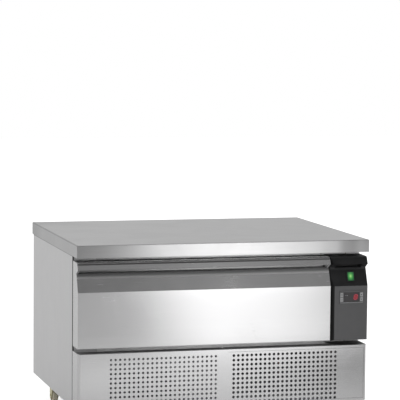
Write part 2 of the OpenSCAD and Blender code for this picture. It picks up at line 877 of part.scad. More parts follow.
// Shroud that guides the air from the condenser to the fan
module fan_shroud() {
    t = 1.2;
    y0 = condenser_y0 + condenser_d + 1 + slip;
    x1 = condenser_x0 + condenser_w;
    z1 = condenser_z0 + condenser_h;
    color("silver")
        difference() {
            block([condenser_x0, y0, floor_z], [x1, fan_y, z1]);
            block([condenser_x0 + t, y0 - 1, floor_z + t], [x1 - t, fan_y - t, z1 - t]);
            translate([fan_x, fan_y + 1, fan_z])
                rotate([90, 0, 0])
                    cylinder(h = 2 + t, d = condenser_fan_d + 6);
        }
}

// Fan: hub and tilted blades, turning about the Y axis through its middle
module fan(d, hub_d, width, blades, shaft_d) {
    rotate([90, 0, 0])
        difference() {
            union() {
                cylinder(h = width, d = hub_d, center = true);
                intersection() {
                    cylinder(h = width, d = d, center = true);
                    for (i = [0:blades - 1])
                        rotate([0, 0, i * 360 / blades])
                            rotate([35, 0, 0])
                                translate([hub_d / 2 - 1, -d / 6, -0.6])
                                    cube([d / 2, d / 3, 1.2]);
                }
            }
            cylinder(h = width + 2, d = shaft_d + 2 * bearing_fit, center = true);
        }
}

module condenser_fan() {
    color("black")
        translate([fan_x, fan_y, fan_z])
            fan(condenser_fan_d, 36, fan_width, 5, motor_shaft_d);
}

// Fan motor on three arms that stand on the shroud's back
module condenser_motor() {
    y0 = fan_y + fan_width / 2 + 3;
    reach = condenser_fan_d / 2 + 7;
    color("dimgray")
        translate([fan_x, 0, fan_z]) {
            bar([0, y0 + 1, 0], [0, fan_y - fan_width / 2, 0], motor_shaft_d);
            bar([0, y0, 0], [0, y0 + motor_len, 0], 58);
            for (a = [30, 150, 270])
                rotate([0, a, 0]) {
                    bar([20, y0 + 4, 0], [reach, y0 + 4, 0], 4);
                    bar([reach, y0 + 8, 0], [reach, fan_y, 0], 6);
                }
        }
}

// Hermetic compressor on four feet
module compressor() {
    r = compressor_d / 2;
    shell = r - 3;
    h = compressor_h;
    dome_r = 23;
    dome = [[0, 0], [shell - dome_r, 0], [shell - dome_r / 3, dome_r / 3], [shell, dome_r],
        [shell, h * 0.45], [r, h * 0.47], [r, h * 0.53], [shell, h * 0.55], [shell, h - dome_r],
        [shell - dome_r / 4, h - dome_r / 2], [shell - dome_r, h], [0, h]];
    box_w = 52;
    box_h = 58;
    box_out = 22;
    color("#202020")
        translate([compressor_x, compressor_y, compressor_z]) {
            rotate_extrude($fn = 64)
                polygon(dome);
            block([-r, -r + 12, -3], [r, r - 12, 1]);
            for (x = [-1, 1], y = [-1, 1])
                translate([x * (r - 12), y * (r - 24), floor_z - compressor_z])
                    cylinder(h = compressor_foot, d = compressor_foot_d);
            bar([0, 0, discharge_z - compressor_z], [-r - 10, 0, discharge_z - compressor_z], 12);
            bar([0, 0, suction_z - compressor_z], [r + 10, 0, suction_z - compressor_z], 14);
            block([-box_w / 2, -r - box_out, box_out], [box_w / 2, -r + 6, box_out + box_h]);
        }
}

// Tray on the compressor, in which the warm shell dries the defrost water
module evaporation_tray() {
    z0 = compressor_z + compressor_h;
    color("white")
        translate([compressor_x, compressor_y, z0])
            difference() {
                block([-tray_w / 2, -tray_d / 2, 0], [tray_w / 2, tray_d / 2, tray_h]);
                block([tray_wall - tray_w / 2, tray_wall - tray_d / 2, tray_wall],
                    [tray_w / 2 - tray_wall, tray_d / 2 - tray_wall, tray_h + 1]);
            }
}

// Discharge, liquid and suction pipes between the compressor and the coils
module refrigerant_pipes() {
    left = compressor_x - compressor_d / 2 - 10;
    right = compressor_x + compressor_d / 2 + 10;
    coil_x = condenser_x0 + condenser_w + stub;
    coil_y = condenser_y0 + condenser_d / 4;
    low = condenser_z0 + condenser_h * 0.5 / coil_rows;
    high = condenser_z0 + condenser_h * (1 - 0.5 / coil_rows);
    behind = compressor_y + compressor_d / 2 + 30;
    end_y = evaporator_y0 + evaporator_len + stub;
    top = evaporator_z0 + evaporator_h * (1 - 0.5 / coil_rows);
    bottom = evaporator_z0 + evaporator_h * 0.5 / coil_rows;
    color("chocolate") {
        pipe([[left, compressor_y, discharge_z], [left - 40, compressor_y, discharge_z],
            [left - 40, compressor_y, high], [left - 40, coil_y, high], [coil_x, coil_y, high]], 8);
        pipe([[coil_x, coil_y, low], [coil_x + 25, coil_y, low], [coil_x + 25, behind, low],
            [chase_x - 6, behind, low], [chase_x - 6, chase_y, low], [chase_x - 6, chase_y, top],
            [chase_x - 6, end_y, top]], 6);
        pipe([[right, compressor_y, suction_z], [chase_x + 6, compressor_y, suction_z],
            [chase_x + 6, chase_y, suction_z], [chase_x + 6, chase_y, bottom],
            [chase_x + 6, end_y + 16, bottom], [row_x, end_y + 16, bottom], [row_x, end_y, bottom]], 8);
    }
}

// Evaporator beside the cavity, with its length from front to back
module evaporator_coil() {
    color("lightsteelblue")
        translate([evaporator_x0 + evaporator_w, evaporator_y0, evaporator_z0])
            rotate([0, 0, 90])
                coil(evaporator_len, evaporator_w, evaporator_h, evaporator_fins, coil_rows,
                    evaporator_z0 - open_z0);
}

// Cover between the cavity and the evaporator, which also carries the right runner
module evaporator_cover() {
    y0 = body_y0 + skin_t + 1;
    y1 = liner_y1 - liner_t - slip;
    color("whitesmoke")
        difference() {
            block([open_x1, y0, open_z0], [open_x1 + cover_t, y1, open_z1]);
            translate([open_x1 - 1, fan_y2, fan_z2])
                rotate([0, 90, 0])
                    cylinder(h = cover_t + 2, d = evaporator_fan_d + 3);
            for (i = [0:cover_slots - 1])
                translate([open_x1 - 1, y0 + 20 + i * cover_slot_pitch, evaporator_z0])
                    cube([cover_t + 2, cover_slot_w, cover_slot_h]);
        }
}

// Square fan frame on the back of the evaporator's cover
module evaporator_fan_frame() {
    x0 = open_x1 + cover_t;
    color("#202020")
        translate([x0, fan_y2, fan_z2]) {
            difference() {
                block([0, -fan_frame / 2, -fan_frame / 2], [fan_frame_t, fan_frame / 2, fan_frame / 2]);
                bar([-1, 0, 0], [fan_frame_t + 1, 0, 0], evaporator_fan_d + 3);
            }
            for (a = [45, 135, 225, 315])
                rotate([a, 0, 0])
                    block([fan_frame_t - 3, -2, 0], [fan_frame_t, 2, fan_frame / 2]);
            bar([fan_frame_t - 6, 0, 0], [fan_frame_t, 0, 0], 36);
            bar([2, 0, 0], [fan_frame_t, 0, 0], small_shaft_d);
        }
}

module evaporator_fan() {
    color("black")
        translate([open_x1 + cover_t + 1.5 + small_fan_w / 2, fan_y2, fan_z2])
            rotate([0, 0, 90])
                fan(evaporator_fan_d, 34, small_fan_w, 7, small_shaft_d);
}

// Runner member on the left wall of the cavity, or mirrored onto the right
module runner_member(line, right, t = runner_t) {
    color("gainsboro")
        translate([right ? open_x1 : open_x0, runner_y0, runner_z])
            mirror([right ? 1 : 0, 0, 0])
                translate([0, runner_len, 0])
                    rotate([90, 0, 0])
                        linear_extrude(runner_len)
                            sheet(line, t);
}

// Cable gland in the base tray, pointing down and clamped by its nut
module cable_gland() {
    color("#303030")
        translate([gland_x, gland_y, body_z0])
            rotate([180, 0, 0])
                difference() {
                    union() {
                        cylinder(h = 6, d = gland_hole + 10, $fn = 6);
                        translate([0, 0, 5])
                            cylinder(h = 12, d = gland_hole + 4);
                        translate([0, 0, -base_t - 6])
                            cylinder(h = 8, d = gland_hole - 2 * slip);
                        translate([0, 0, -base_t - 6])
                            cylinder(h = 6, d = gland_hole + 10, $fn = 6);
                    }
                    translate([0, 0, -base_t - 7])
                        cylinder(h = 40, d = gland_hole / 2);
                }
}

// Keeps what lies in front of the drawer's back panel
module before_back() {
    intersection() {
        children();
        translate([-1, drawer_z0 - 1])
            square([1 + drawer_t - drawer_sheet - slip, drawer_z1 - drawer_z0 + 2]);
    }
}

// Drawer front's sheet, folded into the slope, the recess and the lip
module drawer_skin() {
    color("silver")
        difference() {
            across(drawer_x0, drawer_x1)
                sheet(skin_path, -drawer_sheet, drawer_bend);
            for (x = [drawer_x0 - 1, drawer_x1 - cap_t - slip])
                across(x, x + cap_t + slip + 1)
                    polygon(inset(front_outline(drawer_t + 5), drawer_sheet + 0.05));
        }
}

// Plate that closes one end of the drawer front, between the sheet's folds
module drawer_cap(x0) {
    color("silver")
        across(x0, x0 + cap_t)
            before_back()
                polygon(inset(front_outline(drawer_t + 5), drawer_sheet + slip));
}

module drawer_cap_left() {
    drawer_cap(drawer_x0);
}

module drawer_cap_right() {
    drawer_cap(drawer_x1 - cap_t);
}

module drawer_back() {
    color("whitesmoke")
        block([drawer_x0, frame_y0 - drawer_sheet, drawer_z0 + drawer_sheet + slip],
            [drawer_x1, frame_y0, drawer_z1 - drawer_sheet - slip - 1]);
}

// Foam that fills the drawer front round the recess
module drawer_foam() {
    color("khaki")
        across(drawer_x0 + cap_t + slip, drawer_x1 - cap_t - slip)
            before_back()
                polygon(beside(skin_path, -drawer_sheet - slip));
}

module gasket_block(inside) {
    edge = gasket_in + inside;
    block([drawer_x0 + edge, frame_y0 - inside, drawer_z0 + edge],
        [drawer_x1 - edge, body_y0 - slip + inside, drawer_z1 - edge]);
}

// Gasket round the edge of the drawer front's back
module drawer_gasket() {
    color("dimgray")
        difference() {
            gasket_block(0);
            gasket_block(gasket_w);
        }
}

// Open frame that hangs two food pans by their rims
module drawer_frame() {
    y1 = frame_y0 + frame_len;
    z0 = ledge_z + frame_rise - frame_h;
    z1 = ledge_z + frame_rise;
    pan_y0 = frame_y0 + (frame_len - pan_len) / 2;
    color("silver") {
        difference() {
            block([frame_x0, frame_y0, z0], [frame_x1, y1, z1]);
            block([frame_x0 + frame_t, frame_y0 + frame_t, z0 - 1],
                [frame_x1 - frame_t, y1 - frame_t, z1 + 1]);
        }
        difference() {
            block([frame_x0, frame_y0, ledge_z - frame_t], [frame_x1, y1, ledge_z]);
            for (x = [frame_mid - mid_bar / 2 - pan_w, frame_mid + mid_bar / 2])
                block([x, pan_y0, ledge_z - 2 * frame_t], [x + pan_w, pan_y0 + pan_len, ledge_z + 1]);
        }
        for (x = [frame_mid - mid_bar / 2, frame_mid + mid_bar / 2 - frame_t])
            block([x, frame_y0, ledge_z - mid_drop], [x + frame_t, y1, ledge_z]);
    }
}

// Castor plate with its bearing race and the pin that the fork swivels on
module castor_plates() {
    color("tan")
        for (p = castor_places)
            translate([p[0], p[1], 0]) {
                block([-plate_w / 2, -plate_w / 2, castor_h - plate_t], [plate_w / 2, plate_w / 2, castor_h]);
                translate([0, 0, castor_h - plate_t - race_h])
                    cylinder(h = race_h, d = race_d);
                translate([0, 0, fork_top - fork_t - slip])
                    cylinder(h = castor_h - fork_top + fork_t, d = pivot_d);
                translate([0, 0, fork_top - fork_t - slip - 2])
                    cylinder(h = 2, d = pivot_d + 8);
            }
}

// Castor fork with its axle, trailing towards +Y
module castor_fork(p, braked) {
    inner = wheel_w / 2 + slip;
    boss_r = 13;
    outline = [[4 - fork_disc_d / 2, fork_top], [6 - fork_disc_d / 2, fork_top - 8],
        [castor_trail - boss_r + 0.5, wheel_r - 4], [castor_trail + boss_r - 0.5, wheel_r - 3],
        [pedal_y + 4, pedal_z - 5], [pedal_y + 4, pedal_z + 4], [fork_disc_d / 2 - 4, fork_top]];
    color("tan")
        translate([p[0], p[1], 0]) {
            difference() {
                union() {
                    translate([0, 0, fork_top - fork_t])
                        cylinder(h = fork_t, d = fork_disc_d);
                    for (x = [-inner - fork_t, inner])
                        translate([x, 0, 0])
                            rotate([90, 0, 90])
                                linear_extrude(fork_t)
                                    union() {
                                        polygon(outline);
                                        translate([castor_trail, wheel_r])
                                            circle(boss_r);
                                    }
                }
                translate([0, 0, fork_top - fork_t - 1])
                    cylinder(h = fork_t + 2, d = pivot_d + 2 * bearing_fit);
            }
            translate([0, castor_trail, wheel_r])
                bar([-inner - fork_t - 2, 0, 0], [inner + fork_t + 2, 0, 0], axle_d);
            if (braked)
                translate([0, pedal_y, pedal_z])
                    bar([-inner - fork_t, 0, 0], [inner + fork_t, 0, 0], pedal_pin_d);
        }
}

// Wheel with a rounded tread, turning on the fork's axle
module castor_wheel(p) {
    w = wheel_w / 2;
    tread = [[wheel_r - 7, -w + 2], [wheel_r - 7, -w], [wheel_r - 3, -w], [wheel_r - 1, 2 - w],
        [wheel_r, 4 - w], [wheel_r, w - 4], [wheel_r - 1, w - 2], [wheel_r - 3, w], [wheel_r - 7, w],
        [wheel_r - 7, w - 2]];
    hub = [[7, w - 2], [7, w], [0, w], [0, -w], [7, -w], [7, -w + 2]];
    color("dimgray")
        translate([p[0], p[1] + castor_trail, wheel_r])
            rotate([0, 90, 0])
                difference() {
                    rotate_extrude()
                        polygon(concat(tread, hub));
                    cylinder(h = wheel_w + 2, d = axle_d + 2 * bearing_fit, center = true);
                }
}

// Brake pedal on a pin behind the fork
module castor_brake(p) {
    w = wheel_w / 2 + slip - 0.3;
    color("crimson")
        translate([p[0], p[1] + pedal_y, pedal_z])
            difference() {
                union() {
                    bar([-w, 0, 0], [w, 0, 0], 8);
                    block([-w, 0, 0], [w, 12, 3.5]);
                    block([-w - 3, 9, 0], [w + 3, 28, 3.5]);
                }
                bar([-w - 1, 0, 0], [w + 1, 0, 0], pedal_pin_d + 2 * bearing_fit);
            }
}

worktop();
side_panel_left();
side_panel_right();
rear_panel();
base_tray();
compartment_ceiling();
insulation();
inner_liner();
top_rail();
bottom_rail();
right_stile();
grille_panel();
grille_surround();
control_column();
control_fascia();
switch_bezel();
thermostat();
display_window();
compressor();
condenser_coil();
fan_shroud();
condenser_motor();
evaporation_tray();
refrigerant_pipes();
evaporator_coil();
evaporator_cover();
evaporator_fan_frame();
runner_member(outer_line, false);  // runner_outer_left
runner_member(outer_line, true);  // runner_outer_right
castor_plates();
cable_gland();
drawer_skin();
drawer_cap_left();
drawer_cap_right();
drawer_back();
drawer_foam();
drawer_gasket();
drawer_frame();
runner_member(inner_line, false, -runner_t);  // runner_inner_left
runner_member(inner_line, true, -runner_t);  // runner_inner_right
runner_member(middle_line, false);  // runner_middle_left
runner_member(middle_line, true);  // runner_middle_right
rocker();
key(-1, 1);  // key_set
key(-1, -1);  // key_standby
key(1, 1);  // key_up
key(1, -1);  // key_down
condenser_fan();
evaporator_fan();
castor_fork(castor_places[0], true);  // castor_fork_front_left
castor_fork(castor_places[1], true);  // castor_fork_front_right
castor_fork(castor_places[2], false);  // castor_fork_rear_left
castor_fork(castor_places[3], false);  // castor_fork_rear_right
castor_wheel(castor_places[0]);  // castor_wheel_front_left
castor_wheel(castor_places[1]);  // castor_wheel_front_right
castor_wheel(castor_places[2]);  // castor_wheel_rear_left
castor_wheel(castor_places[3]);  // castor_wheel_rear_right
castor_brake(castor_places[0]);  // castor_brake_left
castor_brake(castor_places[1]);  // castor_brake_right
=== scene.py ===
# %% [markdown]
# A refrigerated drawer unit stands under a kitchen counter's pass: a folded steel worktop, one wide
# insulated drawer, a black control column and a perforated cover over the cooling machine, on four
# castors. The rigid pieces come ready from the CAD frame, each at its real place. This script gives them
# their finishes and adds what a construction model leaves out: the lit digit, the key signs, screws, the
# gasket's folds and a small air baffle behind the cover. We load the frame first, because the faces that
# carry these are read from it.

# %% Load the frame
import math

import bpy
import bmesh
from mathutils import Matrix, Vector


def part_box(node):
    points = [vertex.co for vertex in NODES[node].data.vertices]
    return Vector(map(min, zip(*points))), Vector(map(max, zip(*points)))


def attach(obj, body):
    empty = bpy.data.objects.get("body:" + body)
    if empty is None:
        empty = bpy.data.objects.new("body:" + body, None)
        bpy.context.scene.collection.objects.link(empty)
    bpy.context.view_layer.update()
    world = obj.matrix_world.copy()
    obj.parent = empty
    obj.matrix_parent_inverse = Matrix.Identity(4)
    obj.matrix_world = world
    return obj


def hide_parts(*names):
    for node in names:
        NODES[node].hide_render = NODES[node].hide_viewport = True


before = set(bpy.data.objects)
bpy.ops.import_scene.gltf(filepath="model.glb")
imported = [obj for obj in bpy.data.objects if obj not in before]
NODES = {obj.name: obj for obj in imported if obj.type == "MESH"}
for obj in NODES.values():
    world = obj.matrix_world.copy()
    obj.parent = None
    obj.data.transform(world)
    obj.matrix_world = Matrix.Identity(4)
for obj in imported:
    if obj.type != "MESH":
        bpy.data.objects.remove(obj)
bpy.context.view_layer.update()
MM = 0.001

# %% [markdown]
# The photograph was taken with a long lens from the front left, a little above the worktop. A camera was
# fitted to the worktop's corners and to the grid of holes, whose pitch is known. Its place, its turns and
# its focal length are plain values here, so the script doesn't need the picture.

# %% Camera
CAMERA_PLACE = Vector((-1.6785, -6.115, 1.239))
CAMERA_YAW = math.radians(-15.479)
CAMERA_PITCH = math.radians(90 - 5.143)
CAMERA_ROLL = math.radians(0.522)
FOCAL_LENGTH = 182.26
SENSOR_WIDTH = 36.0
CLIP_END = 60


def make_camera():
    data = bpy.data.cameras.new("photo_camera")
    data.lens = FOCAL_LENGTH
    data.sensor_width = SENSOR_WIDTH
    data.clip_end = CLIP_END
    camera = bpy.data.objects.new("photo_camera", data)
    turn = Matrix.Rotation(CAMERA_YAW, 4, "Z") @ Matrix.Rotation(CAMERA_PITCH, 4, "X")
    turn = turn @ Matrix.Rotation(CAMERA_ROLL, 4, "Z")
    camera.matrix_world = Matrix.Translation(CAMERA_PLACE) @ turn
    bpy.context.collection.objects.link(camera)
    bpy.context.scene.camera = camera
    print("camera:", FOCAL_LENGTH, "mm lens at", [round(v, 3) for v in CAMERA_PLACE])


make_camera()

# %% [markdown]
# Materials are built from nodes. Effects that several finishes share, such as brushing, smudges and the
# grain of moulded plastic, are node groups: each is made once and placed in a material with its own
# numbers. Small helpers keep the node building readable. A Mix node has a set of sockets for each type of
# data, so those that mix colours get names here.

# %% Helpers for node trees
MIX_FACTOR, MIX_A, MIX_B, MIX_RESULT = 0, 6, 7, 2
LABELS = {"specular_ior_level": "Specular IOR Level"}


def new_group(name, inputs, outputs, kind="ShaderNodeTree"):
    """An empty node group; inputs and outputs are (name, type, default) and (name, type)."""
    tree = bpy.data.node_groups.new(name, kind)
    print("group:", name)
    for label, data, value in inputs:
        socket = tree.interface.new_socket(name=label, in_out="INPUT", socket_type="NodeSocket" + data)
        if value is not None:
            socket.default_value = value
    for label, data in outputs:
        tree.interface.new_socket(name=label, in_out="OUTPUT", socket_type="NodeSocket" + data)
    return tree, tree.nodes.new("NodeGroupInput"), tree.nodes.new("NodeGroupOutput")


def add_node(tree, kind, links=(), **values):
    """Adds a node, sets its properties, and plugs each (socket, source) pair in."""
    node = tree.nodes.new(kind)
    for key, value in values.items():
        setattr(node, key, value)
    for socket, source in links:
        if hasattr(source, "is_output"):
            tree.links.new(source, node.inputs[socket])
        else:
            node.inputs[socket].default_value = source
    return node


def math_node(tree, operation, *sources):
    """A Math node on up to three sources; gives back its output."""
    return add_node(tree, "ShaderNodeMath", list(enumerate(sources)), operation=operation).outputs[0]


def vector_node(tree, operation, *sources):
    return add_node(tree, "ShaderNodeVectorMath", list(enumerate(sources)), operation=operation)


def map_range(tree, source, low, high, to_low=0.0, to_high=1.0, **values):
    """Maps low to high onto 0 to 1, or onto the two ends given; gives back the node's output."""
    ends = [(0, source), (1, low), (2, high), (3, to_low), (4, to_high)]
    return add_node(tree, "ShaderNodeMapRange", ends, **values).outputs[0]


def mix_colors(tree, factor, first, second, **values):
    ends = [(MIX_FACTOR, factor), (MIX_A, first), (MIX_B, second)]
    return add_node(tree, "ShaderNodeMix", ends, data_type="RGBA", **values).outputs[MIX_RESULT]


def object_place(tree):
    return tree.nodes.new("ShaderNodeTexCoord").outputs["Object"]


def socket_name(label):
    return LABELS.get(label, label.replace("_", " ").title())


def new_material(name, base, rough, metal=0.0, **shader):
    """A material with its Principled shader; constants go on the shader's own sockets."""
    material = bpy.data.materials.new(name)
    material.use_nodes = True
    tree = material.node_tree
    principled = tree.nodes["Principled BSDF"]
    principled.inputs["Base Color"].default_value = (*base, 1)
    principled.inputs["Roughness"].default_value = rough
    principled.inputs["Metallic"].default_value = metal
    for label, value in shader.items():
        principled.inputs[socket_name(label)].default_value = value
    material.diffuse_color = (*base, 1)
    return material, tree, principled, object_place(tree)


def bare_material(name):
    """A material with an empty tree, for the stage."""
    material = bpy.data.materials.new(name)
    material.use_nodes = True
    material.node_tree.nodes.clear()
    return material, material.node_tree


def place_group(tree, group, vector, **values):
    node = add_node(tree, "ShaderNodeGroup", [("Vector", vector)], node_tree=group)
    for label, value in values.items():
        node.inputs[socket_name(label)].default_value = value
    return node


def tint(tree, principled, mask, dark, light):
    """Base Color runs from dark to light with the mask."""
    color = mix_colors(tree, mask, (*dark, 1), (*light, 1))
    tree.links.new(color, principled.inputs["Base Color"])


def bump(tree, principled, height, distance):
    node = add_node(tree, "ShaderNodeBump", [("Height", height), ("Distance", distance), ("Strength", 1.0)])
    tree.links.new(node.outputs[0], principled.inputs["Normal"])


def shades(color, spread):
    """A darker and a lighter version of one colour."""
    return [c * (1 - spread) for c in color], [min(1.0, c * (1 + spread)) for c in color]


# %% [markdown]
# Sheet steel is brushed in one direction on a belt. The lines are a fraction of a millimetre apart and
# tens of millimetres long. A noise texture squeezed along one axis gives exactly that: the group takes
# how many cycles per metre each axis has, so the same group serves a front brushed sideways and a side
# brushed upwards. It puts out a mask of fine lines and one of broader bands, used for colour, roughness
# and a very shallow bump. Noise keeps to the middle of its range, so a part of it is stretched to the
# full mask.

# %% Group: brushed lines
BROAD_SHARE = 0.13
FINE_RANGE, BROAD_RANGE = (0.3, 0.7), (0.35, 0.65)


def make_brushed_group():
    tree, given, result = new_group(
        "brushed_lines",
        [("Vector", "Vector", None), ("Cycles", "Vector", (6, 700, 700))],
        [("Lines", "Float"), ("Broad", "Float")])
    scaled = vector_node(tree, "MULTIPLY", given.outputs["Vector"], given.outputs["Cycles"])
    fine = add_node(tree, "ShaderNodeTexNoise",
                    [("Vector", scaled.outputs[0]), ("Scale", 1.0), ("Detail", 3.0), ("Roughness", 0.6)])
    slower = vector_node(tree, "MULTIPLY", scaled.outputs[0], (BROAD_SHARE, BROAD_SHARE, BROAD_SHARE))
    broad = add_node(tree, "ShaderNodeTexNoise",
                     [("Vector", slower.outputs[0]), ("Scale", 1.0), ("Detail", 2.0)])
    tree.links.new(map_range(tree, fine.outputs[0], *FINE_RANGE), result.inputs["Lines"])
    tree.links.new(map_range(tree, broad.outputs[0], *BROAD_RANGE), result.inputs["Broad"])
    return tree


BRUSHED = make_brushed_group()

# %% [markdown]
# A kitchen unit is wiped, not polished. Faint smudges make the reflections a little cloudy in some
# places, and a soft noise gives them. Moulded plastic has a grain of small cells from the spark-eroded
# mould, which is what a Voronoi texture draws. Both are kept very weak.

# %% Group: smudges and moulded grain
SMUDGE_RANGE, GRAIN_RANGE = (0.42, 0.72), (0.35, 0.65)


def make_smudge_group():
    tree, given, result = new_group(
        "smudges", [("Vector", "Vector", None), ("Size", "Float", 9.0)], [("Mask", "Float")])
    cloud = add_node(tree, "ShaderNodeTexNoise",
                     [("Vector", given.outputs["Vector"]), ("Scale", given.outputs["Size"]), ("Detail", 5.0),
                      ("Roughness", 0.62), ("Distortion", 0.6)])
    tree.links.new(map_range(tree, cloud.outputs[0], *SMUDGE_RANGE), result.inputs["Mask"])
    return tree


def make_grain_group():
    tree, given, result = new_group(
        "moulded_grain", [("Vector", "Vector", None), ("Cells", "Float", 900.0)],
        [("Height", "Float"), ("Mask", "Float")])
    cells = add_node(tree, "ShaderNodeTexVoronoi",
                     [("Vector", given.outputs["Vector"]), ("Scale", given.outputs["Cells"])],
                     feature="SMOOTH_F1")
    cloud = add_node(tree, "ShaderNodeTexNoise",
                     [("Vector", given.outputs["Vector"]), ("Scale", 30.0), ("Detail", 4.0)])
    tree.links.new(cells.outputs["Distance"], result.inputs["Height"])
    tree.links.new(map_range(tree, cloud.outputs[0], *GRAIN_RANGE), result.inputs["Mask"])
    return tree


SMUDGES = make_smudge_group()
MOULDED = make_grain_group()

# %% [markdown]
# Narrow gaps and inside corners get painted shade: their colour is darkened, and where the shade is deep
# it also takes the shine off the metal. The Ambient Occlusion node measures how much of a point's
# surroundings is open within a short reach. The group turns that into a mask that is 1 in the open and
# falls to 0 deep inside a gap.

# %% Group: painted shade in the gaps
OCCLUSION_RAYS = 8


def make_gap_group():
    tree, given, result = new_group(
        "gap_painted_shade", [("Reach", "Float", 0.03), ("Closed", "Float", 0.3), ("Open", "Float", 0.8)],
        [("Unpainted", "Float")])
    # Painted shade: the less open a point's surroundings are, the darker its colour becomes.
    around = add_node(tree, "ShaderNodeAmbientOcclusion", [("Distance", given.outputs["Reach"])],
                      samples=OCCLUSION_RAYS)
    unpainted = map_range(tree, around.outputs["AO"], given.outputs["Closed"], given.outputs["Open"],
                      interpolation_type="SMOOTHSTEP")
    tree.links.new(unpainted, result.inputs["Unpainted"])
    return tree


GAP_PAINTED_SHADE = make_gap_group()

# %% [markdown]
# Along a few lines the photographed steel is darker or lighter than light and shape alone make it here,
# such as on the floor of the finger recess. Painted shade and painted light stand in for that. This group
# measures the distance from a line and puts out 0 near it and 1 away from it. A line is a point and the two
# axes across it. The faces that it meets end on stay unpainted, because a line there would show as a round
# spot.

# %% Group: painted shade and light along a line
ALONG_X, ALONG_Y, ALONG_Z, ROUND_A_POINT = (0, 1, 1), (1, 0, 1), (1, 1, 0), (1, 1, 1)
END_ON_FROM, END_ON_FULL = 0.5, 0.8


def make_line_group():
    tree, given, result = new_group(
        "painted_shade_and_light_along_a_line",
        [("Vector", "Vector", None), ("Line", "Vector", (0, 0, 0)), ("Across", "Vector", (0, 1, 1)),
         ("Near", "Float", 0.002), ("Far", "Float", 0.010)],
        [("Unpainted", "Float")])
    offset = vector_node(tree, "SUBTRACT", given.outputs["Vector"], given.outputs["Line"])
    flat = vector_node(tree, "MULTIPLY", offset.outputs[0], given.outputs["Across"])
    reach = vector_node(tree, "LENGTH", flat.outputs[0])
    away = map_range(tree, reach.outputs["Value"], given.outputs["Near"], given.outputs["Far"],
                     interpolation_type="SMOOTHSTEP")
    facing = vector_node(tree, "ABSOLUTE", tree.nodes.new("ShaderNodeTexCoord").outputs["Normal"])
    lengthways = vector_node(tree, "SUBTRACT", (1, 1, 1), given.outputs["Across"])
    end_face = vector_node(tree, "DOT_PRODUCT", facing.outputs[0], lengthways.outputs[0])
    unpainted_end = map_range(tree, end_face.outputs["Value"], END_ON_FROM, END_ON_FULL)
    tree.links.new(math_node(tree, "MAXIMUM", away, unpainted_end), result.inputs["Unpainted"])
    return tree


LINE_PAINTED_SHADE_AND_LIGHT = make_line_group()

# %% [markdown]
# Painted shade and light have to be laid on a finish. Each mask comes with a share: the colour is
# multiplied by it where the mask is 0. The shares were set by comparing the render with the photograph, and
# one above 1 paints a place brighter. Where the share is under a half the painted shade is deep, so it
# hides the metal and its shine as well.

# %% Helpers: laying painted shade and light on a finish
DEEP_SHADE_SHARE = 0.5
DEEP_SHADE_METAL, DEEP_SHADE_ROUGH = 0.1, 0.85


def shade_base(tree, principled, unpainted, share):
    """Multiplies Base Color by share where the mask is 0, and leaves it alone where the mask is 1."""
    shade = map_range(tree, unpainted, 0.0, 1.0, share, 1.0)
    color = principled.inputs["Base Color"].links[0].from_socket
    shaded = mix_colors(tree, 1.0, color, shade, blend_type="MULTIPLY")
    tree.links.new(shaded, principled.inputs["Base Color"])


# A mask of painted shade in narrow gaps and inside corners, with its share.
def gap_mask(tree, share, reach):
    closed = add_node(tree, "ShaderNodeGroup", [("Reach", reach)], node_tree=GAP_PAINTED_SHADE)
    return closed.outputs["Unpainted"], share


# Masks of painted shade and painted light along lines, each with its share.
def line_masks(tree, place, lines):
    """(mask, share) pairs for (point, axes across, near, far, share) lines."""
    masks = []
    for point, across, near, far, share in lines:
        painted_shade_and_light = place_group(tree, LINE_PAINTED_SHADE_AND_LIGHT, place, line=point, across=across, near=near, far=far)
        masks.append((painted_shade_and_light.outputs["Unpainted"], share))
    return masks


def lay_painted_shade_and_light(tree, principled, masks):
    """Lays each (mask, share) on the colour: a share under 1 is painted shade, one above 1 painted light;
    deep painted shade also hides the metal and its shine.
    """
    bare = None
    for unpainted, share in masks:
        shade_base(tree, principled, unpainted, share)
        if share < DEEP_SHADE_SHARE:
            bare = unpainted if bare is None else math_node(tree, "MULTIPLY", bare, unpainted)
    if bare is not None:
        tree.links.new(map_range(tree, bare, 0.0, 1.0, DEEP_SHADE_METAL, 1.0), principled.inputs["Metallic"])
        dull = map_range(tree, bare, 0.0, 1.0, DEEP_SHADE_ROUGH, 0.0)
        plain = principled.inputs["Roughness"].links[0].from_socket
        tree.links.new(math_node(tree, "MAXIMUM", plain, dull), principled.inputs["Roughness"])


# %% [markdown]
# Brushed steel is a metal whose colour and roughness both follow the lines. What differs between the
# front, the sides and the worktop is the way the belt ran, how worn and so how rough the surface is, and
# where painted shade and light lie. The frame's steel is given a paler colour as painted light, and the
# worktop's a darker one as painted shade.

# %% Brushed steel
SIDEWAYS = (7, 620, 620)
UPWARDS = (620, 620, 7)
FRONT_TO_BACK = (620, 7, 620)
STEEL = (0.622, 0.620, 0.624)
STEEL_SPREAD = 0.012
BRUSH_DEPTH = 0.0000015
BRUSH_SMOOTHER, BRUSH_ROUGHER, SMUDGE_ROUGHER = 0.02, 0.03, 0.05


